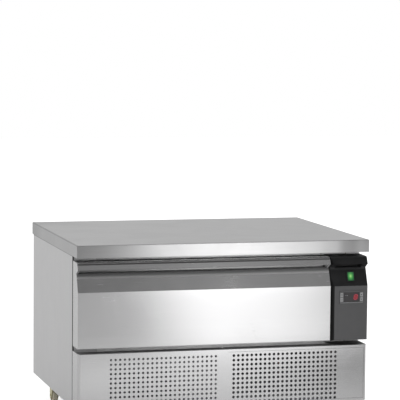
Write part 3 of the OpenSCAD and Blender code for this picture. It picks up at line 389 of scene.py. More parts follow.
def brushed_steel(name, cycles, color=STEEL, rough=0.22, gaps=0.12, reach=0.03, painted_shade_and_light=()):
    material, tree, principled, place = new_material(name, color, rough, 1.0)
    lines = place_group(tree, BRUSHED, place, cycles=cycles)
    smudge = place_group(tree, SMUDGES, place, size=7.0)
    both = math_node(tree, "ADD", lines.outputs["Lines"], lines.outputs["Broad"])
    tint(tree, principled, math_node(tree, "MULTIPLY", both, 0.5), *shades(color, STEEL_SPREAD))
    base = map_range(tree, lines.outputs["Lines"], 0.0, 1.0, rough - BRUSH_SMOOTHER, rough + BRUSH_ROUGHER)
    clouded = math_node(tree, "MULTIPLY_ADD", smudge.outputs["Mask"], SMUDGE_ROUGHER, base)
    tree.links.new(clouded, principled.inputs["Roughness"])
    bump(tree, principled, lines.outputs["Lines"], BRUSH_DEPTH)
    # Painted shade in the gaps, and painted shade and light along the given lines.
    lay_painted_shade_and_light(tree, principled, [gap_mask(tree, gaps, reach)] + line_masks(tree, place, painted_shade_and_light))
    return material


# %% [markdown]
# On the drawer painted shade lies at the back and on the floor of the finger recess, along the crest below
# it and under the lip, and at the rear of the drawer's top, whose front gets painted light instead. On the
# cover painted shade lies along the rear of the ledge, and a painted shadow of the column lies round its
# right end. The side's painted shade follows its two joints, with painted light along the top of its
# front edge, and the worktop's painted shade lies on the far left corner, the left edge and a stretch of the
# front.

# %% Finishes of the steel pieces
# Painted shade and light on the drawer: shares under 1 darken, the one above 1 lightens.
DRAWER_SHADE_AND_LIGHT = [
    ((0, -0.3020, 0.4900), ALONG_X, 0.0040, 0.0060, 0.50),
    ((0, -0.3150, 0.4860), ALONG_X, 0.0060, 0.0100, 0.45),
    ((0, -0.3285, 0.4860), ALONG_X, 0.0080, 0.0200, 0.45),
    ((0, -0.3010, 0.5205), ALONG_X, 0.0090, 0.0130, 0.10),
    ((0, -0.3270, 0.5195), ALONG_X, 0.0130, 0.0160, 2.30),
    ((0, -0.3408, 0.5145), ALONG_X, 0.0022, 0.0034, 0.10),
    ((0, -0.3480, 0.4972), ALONG_X, 0.0016, 0.0030, 0.52),
    ((0, -0.3300, 0.4815), ALONG_X, 0.0030, 0.0050, 0.62),
]
# Painted shade on the cover; the round one is the column's painted shadow.
COVER_PAINTED_SHADE = [
    ((0, -0.3280, 0.2500), ALONG_X, 0.0100, 0.0200, 0.30),
    ((0.3945, -0.2890, 0.2500), ROUND_A_POINT, 0.0560, 0.0595, 0.25),
]
# Painted shade at the side's joints, and painted light along the top of its front edge.
SIDE_SHADE_AND_LIGHT = [
    ((-0.4505, -0.2730, 0), ALONG_Z, 0.0030, 0.0060, 0.12),
    ((-0.4505, 0, 0.5340), ALONG_Y, 0.0020, 0.0040, 0.35),
    ((0, -0.2730, 0.5230), ALONG_X, 0.0040, 0.0070, 1.60),
]
# Painted shade on the worktop.
TOP_PAINTED_SHADE = [
    ((-0.4535, 0.3500, 0.5720), ROUND_A_POINT, 0.0200, 0.2200, 0.78),
    ((-0.4535, 0, 0.5720), ALONG_Y, 0.0015, 0.0045, 0.55),
    ((0.3880, -0.3500, 0), ALONG_Z, 0.0100, 0.0420, 0.74),
]
# Shares and reach of the painted shade in the gaps of the drawer and the cover.
FRONT_GAPS = {"gaps": 0.2, "reach": 0.011}
STEEL_FRONT = brushed_steel("steel_brushed_sideways", SIDEWAYS, painted_shade_and_light=DRAWER_SHADE_AND_LIGHT, **FRONT_GAPS)
STEEL_COVER = brushed_steel("steel_brushed_cover", SIDEWAYS, painted_shade_and_light=COVER_PAINTED_SHADE, **FRONT_GAPS)
# The frame's paler colour is painted light on the same steel.
STEEL_FRAME = brushed_steel("steel_brushed_frame", UPWARDS, (0.72, 0.719, 0.72), rough=0.34, gaps=0.9)
STEEL_SIDE = brushed_steel("steel_brushed_upwards", UPWARDS, rough=0.34, gaps=0.8, painted_shade_and_light=SIDE_SHADE_AND_LIGHT)
# The worktop's darker colour is painted shade on the same steel.
STEEL_TOP = brushed_steel("steel_brushed_worktop", SIDEWAYS, (0.458, 0.457, 0.459), rough=0.30, painted_shade_and_light=TOP_PAINTED_SHADE)
STEEL_INNER = brushed_steel("steel_inner_sheet", FRONT_TO_BACK, (0.64, 0.64, 0.63), rough=0.34)
print("steel finishes: 6, film lines on the drawer:", len(DRAWER_SHADE_AND_LIGHT))

# %% [markdown]
# Painted shade round each punched hole makes the holes look a little larger than they are. Ambient
# Occlusion measured inside the sheet finds that rim: a point close to an edge has less metal round it. The
# rim is kept to the right-hand field, where the photograph shows it.

# %% Perforated steel
RIM_SHADE_WIDTH = 0.0009
RIM_SHADE_OPEN = 0.85
RIM_SHADE_SHARE = 0.05
RIM_SHADE_FROM_X, RIM_SHADE_FULL_X = 0.010, 0.012


def perforated_steel():
    """The cover's steel with a rim of painted shade round each punched hole of the right-hand field."""
    material = brushed_steel("steel_perforated", SIDEWAYS, painted_shade_and_light=COVER_PAINTED_SHADE, **FRONT_GAPS)
    tree = material.node_tree
    # A rim of painted shade round each hole.
    edge = add_node(tree, "ShaderNodeAmbientOcclusion", [("Distance", RIM_SHADE_WIDTH)], samples=OCCLUSION_RAYS,
                    inside=True, only_local=True)
    away = map_range(tree, edge.outputs["AO"], RIM_SHADE_OPEN, 1.0)
    axes = add_node(tree, "ShaderNodeSeparateXYZ", [(0, object_place(tree))])
    left = map_range(tree, axes.outputs[0], RIM_SHADE_FROM_X, RIM_SHADE_FULL_X, 1.0, 0.0)
    lay_painted_shade_and_light(tree, tree.nodes["Principled BSDF"], [(math_node(tree, "MAXIMUM", away, left), RIM_SHADE_SHARE)])
    print("burr: %.1f mm wide" % (RIM_SHADE_WIDTH / MM))
    return material


STEEL_PERFORATED = perforated_steel()

# %% [markdown]
# Hidden and bought sheet parts are zinc coated. Hot zinc freezes in flat crystals, the spangle, and cells
# of a Voronoi texture stand for them. The castors have the yellow tint of passivated zinc, and the coils'
# fins are bare aluminium, which the same recipe gives with a paler colour.

# %% Zinc and aluminium
SPANGLE_CELLS = 90.0
SPANGLE_EDGE = 0.7
SPANGLE_SPREAD = 0.10
SPANGLE_ROUGHER = 0.14


def zinc_sheet(name, color, rough=0.42, gaps=0.7, reach=0.03):
    material, tree, principled, place = new_material(name, color, rough, 1.0)
    spangle = add_node(tree, "ShaderNodeTexVoronoi", [("Vector", place), ("Scale", SPANGLE_CELLS)],
                       feature="F1")
    mask = map_range(tree, spangle.outputs["Distance"], 0.0, SPANGLE_EDGE)
    tint(tree, principled, mask, *shades(color, SPANGLE_SPREAD))
    smudge = place_group(tree, SMUDGES, place, size=12.0)
    dulled = map_range(tree, smudge.outputs["Mask"], 0, 1, rough, rough + SPANGLE_ROUGHER)
    tree.links.new(dulled, principled.inputs["Roughness"])
    # Painted shade in narrow gaps and inside corners.
    lay_painted_shade_and_light(tree, principled, [gap_mask(tree, gaps, reach)])
    return material


# The gap shares below are painted shade; the fins get the deepest.
ZINC = zinc_sheet("zinc_coated_sheet", (0.56, 0.57, 0.58), gaps=0.3, reach=0.05)
RUNNER = zinc_sheet("bright_zinc_runner", (0.62, 0.62, 0.63), 0.28)
CASTOR_ZINC = zinc_sheet("yellow_passivated_zinc", (0.62, 0.58, 0.38), 0.32)
FINS = zinc_sheet("coil_aluminium", (0.80, 0.80, 0.81), 0.35, gaps=0.12)
print("zinc and aluminium finishes: 4")

# %% [markdown]
# The column, the switch and the fans are moulded plastic with a fine spark-eroded grain. The grain is a
# bump of small cells, and a slow cloud keeps the roughness from being the same everywhere. The column's
# black is made paler in its recess and on top of its lip as painted light, and darker down its left edge
# as painted shade. The foam gets painted shade in its gaps, measured at two reaches.

# %% Plastic, rubber, paint and foam finishes
GRAIN_SMOOTHER, GRAIN_ROUGHER = 0.05, 0.06
FOAM_SHADE_SHARE, FOAM_SHADE_REACHES = 0.55, (0.03, 0.012)
# Painted light in the column's recess and on top of its lip, painted shade down its left edge.
COLUMN_SHADE_AND_LIGHT = [
    ((0, -0.3020, 0.4900), ALONG_X, 0.0275, 0.0330, 2.60),
    ((0, -0.3150, 0.5205), ALONG_X, 0.0220, 0.0270, 2.60),
    ((0.3345, -0.3500, 0), ALONG_Z, 0.0040, 0.0105, 0.40),
]


def moulded(name, color, rough, cells=900.0, depth=0.00004, spread=0.12, painted_shade_and_light=(), **shader):
    material, tree, principled, place = new_material(name, color, rough, **shader)
    grain = place_group(tree, MOULDED, place, cells=cells)
    tint(tree, principled, grain.outputs["Mask"], *shades(color, spread))
    # Painted shade and light along the given lines: shares under 1 darken, above 1 lighten.
    for unpainted, share in line_masks(tree, place, painted_shade_and_light):
        shade_base(tree, principled, unpainted, share)
    uneven = map_range(tree, grain.outputs["Mask"], 0, 1, rough - GRAIN_SMOOTHER, rough + GRAIN_ROUGHER)
    tree.links.new(uneven, principled.inputs["Roughness"])
    bump(tree, principled, grain.outputs["Height"], depth)
    return material


def insulation_foam():
    material = moulded("foam_insulation", (0.72, 0.62, 0.36), 0.85, cells=300.0, depth=0.0004)
    tree = material.node_tree
    # Painted shade in the foam's gaps, at two reaches.
    masks = [gap_mask(tree, FOAM_SHADE_SHARE, reach) for reach in FOAM_SHADE_REACHES]
    lay_painted_shade_and_light(tree, tree.nodes["Principled BSDF"], masks)
    return material


COLUMN_BLACK = moulded("column_black_moulding", (0.0215, 0.0215, 0.022), 0.5, painted_shade_and_light=COLUMN_SHADE_AND_LIGHT,
                       specular_ior_level=0.05)
FASCIA = moulded("fascia_anthracite", (0.079, 0.079, 0.081), 0.55, cells=1600.0, depth=0.00002, spread=0.05)
SWITCH_BLACK = moulded("switch_satin_black", (0.010, 0.010, 0.011), 0.35)
KEY_GREY = moulded("key_soft_grey", (0.34, 0.34, 0.345), 0.6)
PRINT_GREY = moulded("bezel_print_grey", (0.30, 0.30, 0.31), 0.6)
MARK_BLACK = moulded("key_mark_black", (0.05, 0.05, 0.05), 0.5)
MACHINE_BLACK = moulded("machine_black_paint", (0.012, 0.012, 0.013), 0.4)
FAN_BLACK = moulded("fan_black_plastic", (0.016, 0.016, 0.017), 0.5)
MOTOR_GREY = moulded("motor_grey_paint", (0.09, 0.09, 0.095), 0.45)
TRAY_PLASTIC = moulded("evaporation_tray_plastic", (0.68, 0.68, 0.66), 0.4, spread=0.05)
GASKET_RUBBER = moulded("gasket_rubber", (0.045, 0.045, 0.048), 0.65, cells=500.0)
WHEEL_NYLON = moulded("castor_cream_nylon", (0.56, 0.52, 0.40), 0.5, cells=700.0)
PEDAL_RED = moulded("pedal_red_plastic", (0.36, 0.03, 0.03), 0.4)
FOAM = insulation_foam()
print("moulded finishes: 14, column film lines:", len(COLUMN_SHADE_AND_LIGHT))

# %% [markdown]
# The refrigerant runs in copper pipe. Copper goes brown where it was handled and near the brazed joints,
# so the smudges drive both its colour and its roughness.

# %% Copper
COPPER_BRIGHT, COPPER_BROWN = (0.74, 0.40, 0.26), (0.50, 0.25, 0.17)
COPPER_SMOOTH, COPPER_DULL = 0.22, 0.45


def copper_pipe():
    material, tree, principled, place = new_material("copper_pipe", (0.72, 0.36, 0.22), 0.3, 1.0)
    smudge = place_group(tree, SMUDGES, place, size=40.0)
    tint(tree, principled, smudge.outputs["Mask"], COPPER_BRIGHT, COPPER_BROWN)
    dulled = map_range(tree, smudge.outputs["Mask"], 0, 1, COPPER_SMOOTH, COPPER_DULL)
    tree.links.new(dulled, principled.inputs["Roughness"])
    print("finish:", material.name)
    return material


COPPER = copper_pipe()

# %% [markdown]
# The rocker's lens is lit from behind by a small lamp. A lamp behind coloured plastic shows as a bright
# spot that falls off to a deeper green at the edges. The distance from the lamp's place, read on Object
# coordinates, drives the emission colour, so the glow stays on the lens in every view. The red digit
# glows in the same way, with a dark red halo round it on the smoked window.

# %% Lit finishes
ROCKER_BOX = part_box("rocker")
ROCKER_LAMP = (ROCKER_BOX[0] + ROCKER_BOX[1]) / 2 + Vector((-0.0005, 0, 0))
DIGIT_LAMP = Vector((0.412, -0.352, 0.397))


def glow(name, body, lamp, stretch, ramp, rough=0.3):
    """Plastic lit from behind; ramp is (position, colour) by distance from the lamp, in stretched metres."""
    material, tree, principled, place = new_material(name, body, rough)
    offset = vector_node(tree, "SUBTRACT", place, tuple(lamp))
    scaled = vector_node(tree, "MULTIPLY", offset.outputs[0], stretch)
    reach = vector_node(tree, "LENGTH", scaled.outputs[0])
    colors = add_node(tree, "ShaderNodeValToRGB", [(0, reach.outputs["Value"])])
    stops = colors.color_ramp.elements
    for stop, (position, color) in ((stops[0], ramp[0]), (stops[1], ramp[-1])):
        stop.position, stop.color = position, (*color, 1)
    for position, color in ramp[1:-1]:
        stops.new(position).color = (*color, 1)
    tree.links.new(colors.outputs[0], principled.inputs["Emission Color"])
    principled.inputs["Emission Strength"].default_value = 1.0
    print("glow:", name, len(ramp), "steps")
    return material


ROCKER_GREEN = glow(
    "rocker_lit_green", (0.01, 0.04, 0.015), ROCKER_LAMP, (70, 45, 50),
    [(0.0, (0.68, 1.00, 0.62)), (0.16, (0.20, 0.50, 0.12)), (0.40, (0.045, 0.26, 0.055)),
     (0.65, (0.014, 0.11, 0.028)), (1.0, (0.006, 0.03, 0.016))])
WINDOW = glow(
    "display_window_smoked", (0.026, 0.024, 0.025), DIGIT_LAMP, (70, 40, 60),
    [(0.0, (0.34, 0.004, 0.012)), (0.2, (0.20, 0.001, 0.006)), (0.5, (0.02, 0.0, 0.004)),
     (0.8, (0.0, 0.0, 0.0))], rough=0.22)
DIGIT_RED = glow(
    "digit_lit_red", (0.16, 0.01, 0.02), DIGIT_LAMP, (50, 50, 50),
    [(0.0, (0.25, 0.005, 0.012)), (0.5, (0.21, 0.015, 0.03)), (1.0, (0.18, 0.02, 0.04))], rough=0.4)

# %% [markdown]
# Every node of the frame now gets its finish. The table below lists the nodes by finish, because that is
# how a maker would order the sheet, the mouldings and the bought parts. A name that ends in an underscore
# stands for all nodes that begin with it, such as the four castor forks. The loop replaces whatever
# material the frame came with, and the last line names any node that was forgotten.

# %% Finishes on the frame's pieces
FINISHES = [
    (STEEL_FRONT, "drawer_skin drawer_cap_"),
    (STEEL_COVER, "grille_surround"),
    (STEEL_PERFORATED, "grille_panel"),
    (STEEL_SIDE, "side_panel_"),
    (STEEL_FRAME, "top_rail bottom_rail right_stile"),
    (STEEL_TOP, "worktop"),
    (STEEL_INNER, "inner_liner evaporator_cover drawer_back"),
    (ZINC, "rear_panel base_tray compartment_ceiling fan_shroud evaporator_fan_frame drawer_frame"),
    (RUNNER, "runner_"),
    (CASTOR_ZINC, "castor_plates castor_fork_"),
    (WHEEL_NYLON, "castor_wheel_"),
    (PEDAL_RED, "castor_brake_"),
    (FINS, "condenser_coil evaporator_coil"),
    (COLUMN_BLACK, "control_column cable_gland"),
    (FASCIA, "control_fascia thermostat"),
    (WINDOW, "display_window"),
    (SWITCH_BLACK, "switch_bezel"),
    (KEY_GREY, "key_"),
    (ROCKER_GREEN, "rocker"),
    (MACHINE_BLACK, "compressor"),
    (MOTOR_GREY, "condenser_motor"),
    (TRAY_PLASTIC, "evaporation_tray"),
    (COPPER, "refrigerant_pipes"),
    (FAN_BLACK, "condenser_fan evaporator_fan"),
    (GASKET_RUBBER, "drawer_gasket"),
    (FOAM, "insulation drawer_foam"),
]


def nodes_named(start):
    return [name for name in NODES if name.startswith(start)] if start.endswith("_") else [start]


finished = []
for finish, starts in FINISHES:
    for name in [name for start in starts.split() for name in nodes_named(start)]:
        NODES[name].data.materials.clear()
        NODES[name].data.materials.append(finish)
        finished.append(name)
print("finished nodes:", len(finished), "forgotten:", sorted(set(NODES) - set(finished)))

# %% [markdown]
# Small prints and lit marks are too thin for the construction model, so they are added here. Each is a
# flat outline given a fraction of a millimetre of thickness and laid on the face that carries it. One
# helper turns outlines into such a piece; it works in millimetres across the front, because the controls
# were laid out so.

# %% Helpers: closed meshes and thin marks on a front face
MARK_THICKNESS = 0.00015


def closed_mesh(work, name):
    """Turns the faces of a bmesh outwards and makes a mesh of it."""
    bmesh.ops.recalc_face_normals(work, faces=work.faces)
    mesh = bpy.data.meshes.new(name)
    work.to_mesh(mesh)
    work.free()
    return mesh


def join_loops(work, first, second):
    """Faces between two closed loops of equally many vertices."""
    for i in range(len(first)):
        k = (i + 1) % len(first)
        work.faces.new((first[i], first[k], second[k], second[i]))


def finish_piece(mesh, material, body):
    """A piece with the mesh's name, a finish and a body that it rides on."""
    piece = bpy.data.objects.new(mesh.name, mesh)
    bpy.context.collection.objects.link(piece)
    mesh.materials.append(material)
    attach(piece, body)
    return piece


def rectangle(x0, z0, x1, z1):
    return [(x0, z0), (x1, z0), (x1, z1), (x0, z1)]


def thin_marks(name, outlines, front, material, body, thickness=MARK_THICKNESS):
    """Prisms over (x, z) outlines in millimetres; front is the carrying face's Y in metres."""
    work = bmesh.new()
    for outline in outlines:
        near = [work.verts.new((x * MM, front - thickness, z * MM)) for x, z in outline]
        far = [work.verts.new((x * MM, front, z * MM)) for x, z in outline]
        work.faces.new(near)
        work.faces.new(list(reversed(far)))
        join_loops(work, far, near)
    return finish_piece(closed_mesh(work, name), material, body)


# %% [markdown]
# The display shows one digit of seven-segment bars. A digit of that kind leans about ten degrees, and its
# bars are six-sided so that they can meet at a mitre. Each bar is one outline between two corners of the
# digit. A short bar and a block before the digit stand for a sign without words.

# %% The lit digit
WINDOW_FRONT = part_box("display_window")[0].y
DIGIT_THICKNESS = 0.0002
MITRE_GAP = 0.35
DIGIT = {"left": 405.6, "foot": 390.0, "width": 10.0, "height": 14.0, "lean": 0.17, "bar": 2.6}
WINDOW_SIGN = [rectangle(378.5, 401.4, 381.5, 402.6), rectangle(383.5, 400.9, 386.0, 403.1)]


def bar_outline(start, end, width):
    (x0, z0), (x1, z1) = start, end
    length = math.hypot(x1 - x0, z1 - z0)
    ux, uz = (x1 - x0) / length, (z1 - z0) / length
    half = width / 2
    points = [(MITRE_GAP, 0), (half + MITRE_GAP, half), (length - half - MITRE_GAP, half),
              (length - MITRE_GAP, 0), (length - half - MITRE_GAP, -half), (half + MITRE_GAP, -half)]
    return [(x0 + ux * a - uz * b, z0 + uz * a + ux * b) for a, b in points]


def digit_zero(left, foot, width, height, lean, bar):
    """The six outer bars, clockwise from the top; corners are (column, row) shares of the digit."""
    def corner(column, row):
        return left + column * width + lean * row * height, foot + row * height

    ring = [(0, 1), (1, 1), (1, 0.5), (1, 0), (0, 0), (0, 0.5)]
    return [bar_outline(corner(*a), corner(*b), bar) for a, b in zip(ring, ring[1:] + ring[:1])]


DIGIT_BARS = digit_zero(**DIGIT)
thin_marks("display_digit", DIGIT_BARS, WINDOW_FRONT, DIGIT_RED, "cabinet", DIGIT_THICKNESS)
thin_marks("display_sign", WINDOW_SIGN, WINDOW_FRONT, PRINT_GREY, "cabinet")
print("digit bars:", len(DIGIT_BARS))

# %% [markdown]
# The keys carry plain signs: an arrow up and an arrow down, a ring with a bar for standby, and a square
# for the menu. They are outlines round the middle of a key, in millimetres. The signs ride on their own
# keys, so they go in when a key is pressed.

# %% Key signs
RING_RADIUS, RING_WIDTH, RING_START, RING_END, RING_PIECES = 2.5, 0.7, 120, 420, 14
ARROW = [(-2.4, -1.6), (2.4, -1.6), (0, 2.4)]


def open_ring():
    """A ring with a gap at its top, as short bars with straight ends."""
    angles = [math.radians(RING_START + (RING_END - RING_START) * i / RING_PIECES)
              for i in range(RING_PIECES + 1)]
    inner = RING_RADIUS - RING_WIDTH
    return [[(r * math.cos(t), r * math.sin(t))
             for r, t in ((RING_RADIUS, a), (RING_RADIUS, b), (inner, b), (inner, a))]
            for a, b in zip(angles, angles[1:])]


KEY_SIGNS = {
    "up": [ARROW],
    "down": [[(x, -z) for x, z in ARROW]],
    "standby": open_ring() + [rectangle(-0.35, 0.4, 0.35, 3.0)],
    "set": [rectangle(-2.3, 1.5, 2.3, 2.3), rectangle(-2.3, -2.3, 2.3, -1.5),
            rectangle(-2.3, -1.5, -1.5, 1.5), rectangle(1.5, -1.5, 2.3, 1.5)],
}
for word, sign in KEY_SIGNS.items():
    name = "key_" + word
    low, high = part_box(name)
    middle_x, middle_z = (low.x + high.x) / 2 / MM, (low.z + high.z) / 2 / MM
    outlines = [[(middle_x + x, middle_z + z) for x, z in outline] for outline in sign]
    thin_marks("sign_" + word, outlines, low.y, MARK_BLACK, name)
    print(name, "outlines:", len(outlines))

# %% [markdown]
# A pale line is printed along the foot of the thermostat's bezel and up both its sides, as three thin
# marks more.

# %% The bezel's line
LINE_IN, LINE_UP, LINE_TALL = 1.2, 0.8, 33
LINE_FOOT_WIDTH, LINE_SIDE_WIDTH = 1.3, 0.8


def bezel_line():
    low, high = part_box("thermostat")
    x0, x1, z0 = low.x / MM + LINE_IN, high.x / MM - LINE_IN, low.z / MM + LINE_UP
    z1, z2 = z0 + LINE_FOOT_WIDTH, z0 + LINE_TALL
    lines = [rectangle(x0, z0, x1, z1), rectangle(x0, z1, x0 + LINE_SIDE_WIDTH, z2),
             rectangle(x1 - LINE_SIDE_WIDTH, z1, x1, z2)]
    thin_marks("bezel_line", lines, low.y, PRINT_GREY, "cabinet")
    print("bezel line: %.1f mm wide" % (x1 - x0))


bezel_line()

# %% [markdown]
# The drawer closes on a magnetic gasket: a hollow rubber profile with folds on both flanks that let it
# stretch towards the frame. The construction model holds its plain envelope. Here the real section is
# carried round the drawer's back: for each point of the section there is one closed rectangle, smaller by
# the point's distance inwards, so its corners come out mitred.

# %% The gasket with its folds
GASKET_WIDTH = 0.012
GASKET_FLANK = [(0.0, 0.0), (0.0, 0.10), (0.0016, 0.20), (0.0005, 0.36), (0.0020, 0.48), (0.0004, 0.64),
                (0.0, 0.80), (0.0006, 1.0)]


def make_gasket():
    """The flank's points are (inwards in metres, share of the depth); the other flank mirrors them."""
    low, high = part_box("drawer_gasket")
    section = GASKET_FLANK + [(GASKET_WIDTH - inwards, share) for inwards, share in reversed(GASKET_FLANK)]
    work = bmesh.new()
    loops = []
    for inwards, share in section:
        y = low.y + share * (high.y - low.y)
        corners = rectangle(low.x + inwards, low.z + inwards, high.x - inwards, high.z - inwards)
        loops.append([work.verts.new((x, y, z)) for x, z in corners])
    for loop, after in zip(loops, loops[1:] + loops[:1]):
        join_loops(work, loop, after)
    gasket = finish_piece(closed_mesh(work, "gasket_folds"), GASKET_RUBBER, "drawer")
    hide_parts("drawer_gasket")
    print("gasket section points:", len(section))


make_gasket()

# %% [markdown]
# Through the upper holes of the left field the photograph shows something paler than the dark
# compartment. That is where a condensing unit has its air baffle, a folded strip that closes the space
# over the condenser, so that the air goes through the fins. It is a thin sheet seen through holes, so its
# folded section is simply carried along X, from the condenser's left end to a hand's width past its right
# one.

# %% The air baffle over the condenser
BAFFLE_SHEET = 0.001
BAFFLE_FOOT = 0.183
BAFFLE_PAST_COIL = 0.118
BAFFLE_FACE_IN, BAFFLE_BACK_IN, BAFFLE_FOLD = 0.004, 0.020, 0.006
BAFFLE_UNDER_CEILING = 0.0002


def make_air_baffle():
    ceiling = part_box("compartment_ceiling")[0]
    coil_low, coil_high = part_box("condenser_coil")
    left, right = coil_low.x, coil_high.x + BAFFLE_PAST_COIL
    face, back = ceiling.y + BAFFLE_FACE_IN, ceiling.y + BAFFLE_BACK_IN
    top, foot, fold = ceiling.z - BAFFLE_UNDER_CEILING, BAFFLE_FOOT, back - BAFFLE_FOLD
    inner_face, inner_foot, inner_top = face + BAFFLE_SHEET, foot + BAFFLE_SHEET, top - BAFFLE_SHEET
    section = [(back, top), (face, top), (face, foot), (fold, foot), (fold, inner_foot),
               (inner_face, inner_foot), (inner_face, inner_top), (back, inner_top)]
    work = bmesh.new()
    ends = [[work.verts.new((x, y, z)) for y, z in section] for x in (left, right)]
    join_loops(work, *ends)
    for end in ends:
        work.faces.new(end)
    finish_piece(closed_mesh(work, "air_baffle"), ZINC, "cabinet")
    print("air baffle: %.0f mm long" % ((right - left) / MM))


make_air_baffle()

# %% [markdown]
# Screws repeat, so Geometry Nodes place them. The tree takes a mesh of bare points, puts one screw on
# each, and has named inputs for the head's and the flange's width and height and for the turn towards the
# face. The castors and the cover are held by six-sided heads, and the rear panel by round ones.

# %% Tree: screws on points
SCREW_SIZES = {"Head Width": 0.008, "Head Height": 0.003, "Flange Width": 0.011, "Flange Height": 0.001}
FLANGE_TAPER, HEAD_TAPER = 2.3, 2.2
FLANGE_SIDES, HEX_SIDES, ROUND_SIDES = 24, 6, 20


def make_screw_tree(name, sides):
    sizes = [(label, "Float", value) for label, value in SCREW_SIZES.items()]
    tree, given, result = new_group(
        name, [("Points", "Geometry", None), *sizes, ("Turn", "Vector", None), ("Finish", "Material", None)],
        [("Screws", "Geometry")], kind="GeometryNodeTree")

    def cone(count, label, taper):
        width = given.outputs[label + " Width"]
        return add_node(tree, "GeometryNodeMeshCone",
                        [("Vertices", count), ("Radius Bottom", math_node(tree, "DIVIDE", width, 2.0)),
                         ("Radius Top", math_node(tree, "DIVIDE", width, taper)),
                         ("Depth", given.outputs[label + " Height"])])

    flange, head = cone(FLANGE_SIDES, "Flange", FLANGE_TAPER), cone(sides, "Head", HEAD_TAPER)
    lift = add_node(tree, "ShaderNodeCombineXYZ", [(2, given.outputs["Flange Height"])])
    raised = add_node(tree, "GeometryNodeTransform",
                      [("Geometry", head.outputs["Mesh"]), ("Translation", lift.outputs[0])])
    joined = add_node(tree, "GeometryNodeJoinGeometry")
    tree.links.new(flange.outputs["Mesh"], joined.inputs[0])
    tree.links.new(raised.outputs[0], joined.inputs[0])
    placed = add_node(tree, "GeometryNodeInstanceOnPoints",
                      [("Points", given.outputs["Points"]), ("Instance", joined.outputs[0]),
                       ("Rotation", given.outputs["Turn"])])
    real = add_node(tree, "GeometryNodeRealizeInstances", [("Geometry", placed.outputs[0])])
    painted = add_node(tree, "GeometryNodeSetMaterial",
                       [("Geometry", real.outputs[0]), ("Material", given.outputs["Finish"])])
    tree.links.new(painted.outputs[0], result.inputs[0])
    return tree


HEX_SCREWS = make_screw_tree("hex_flange_screws", HEX_SIDES)
ROUND_SCREWS = make_screw_tree("round_head_screws", ROUND_SIDES)

# %% [markdown]
# The tree's result is realised and copied to a plain mesh, and the modifier is removed before the piece
# joins a body. The castors' plates have four screws each, the rear panel has two rows and two columns,
# and one screw holds the cover. Their points are in millimetres, and the face that carries them comes
# from the frame.

# %% Rows of screws
UP = (0.0, 0.0, 0.0)
DOWN = (math.pi, 0.0, 0.0)
BACKWARDS = (-math.pi / 2, 0.0, 0.0)
CASTOR_PLACES = [(-407, -218), (407, -218), (-407, 197), (407, 197)]
PLATE_SCREW = 25
PLATE_THICKNESS = 3.0
REAR_ROWS = [(x, z) for x in (-400, -200, 0, 200, 400) for z in (518, 262)]
REAR_COLUMNS = [(x, z) for x in (-405, 405) for z in (90, 176, 348, 434)]
COVER_SCREW_PLACE, COVER_SCREW_SUNK = (0, -317), 1.0


def place_screws(name, tree, points, turn, **sizes):
    cloud = bpy.data.meshes.new(name + "_points")
    cloud.from_pydata([tuple(v * MM for v in point) for point in points], [], [])
    holder = bpy.data.objects.new(name + "_points", cloud)
    bpy.context.collection.objects.link(holder)
    modifier = holder.modifiers.new("screws", "NODES")
    modifier.node_group = tree
    inputs = {item.name: item.identifier for item in tree.interface.items_tree if item.in_out == "INPUT"}
    modifier[inputs["Turn"]] = turn
    modifier[inputs["Finish"]] = RUNNER
    for label, value in sizes.items():
        modifier[inputs[socket_name(label)]] = value * MM
    ready = holder.evaluated_get(bpy.context.evaluated_depsgraph_get())
    mesh = bpy.data.meshes.new_from_object(ready)
    mesh.name = name
    holder.modifiers.remove(modifier)
    bpy.data.objects.remove(holder)
    mesh.materials.clear()
    finish_piece(mesh, RUNNER, "cabinet")
    print(name, len(points), "screws,", len(mesh.polygons), "faces")


plate_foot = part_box("castor_plates")[1].z / MM - PLATE_THICKNESS
castor_points = [(x + dx, y + dy, plate_foot) for x, y in CASTOR_PLACES
                 for dx in (-PLATE_SCREW, PLATE_SCREW) for dy in (-PLATE_SCREW, PLATE_SCREW)]
place_screws("castor_screws", HEX_SCREWS, castor_points, DOWN,
             head_width=7.0, head_height=3.0, flange_width=10.0, flange_height=0.8)
rear_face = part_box("rear_panel")[1].y / MM
place_screws("rear_screws", ROUND_SCREWS, [(x, rear_face, z) for x, z in REAR_ROWS + REAR_COLUMNS], BACKWARDS,
             head_width=5.5, head_height=1.2, flange_width=8.0, flange_height=0.6)
cover_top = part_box("grille_surround")[1].z / MM
place_screws("cover_screw", HEX_SCREWS, [(*COVER_SCREW_PLACE, cover_top - COVER_SCREW_SUNK)], UP,
             head_width=7.0, head_height=3.5, flange_width=11.0, flange_height=1.2)

# %% [markdown]
# A studio for brushed steel is mostly a matter of what the steel sees. The photographed front is bright
# in its middle and darker towards both ends, so a soft glowing card stands in front of it, out of the
# camera's view. The card's glow changes along it and from its foot up: the cover reflects its foot, the
# drawer its middle, the worktop's edge the band above, and the sloping face looks up to its dim top. Each
# band is a height, a row of places along X and the levels of glow there, made into a colour ramp. The
# height blends from one band to the next. The levels were set by comparing the brightness of render and
# photograph along each face: they are light on a stage piece, and no colour of the picture is kept. The
# card, the floor and the world are stage, not the unit.

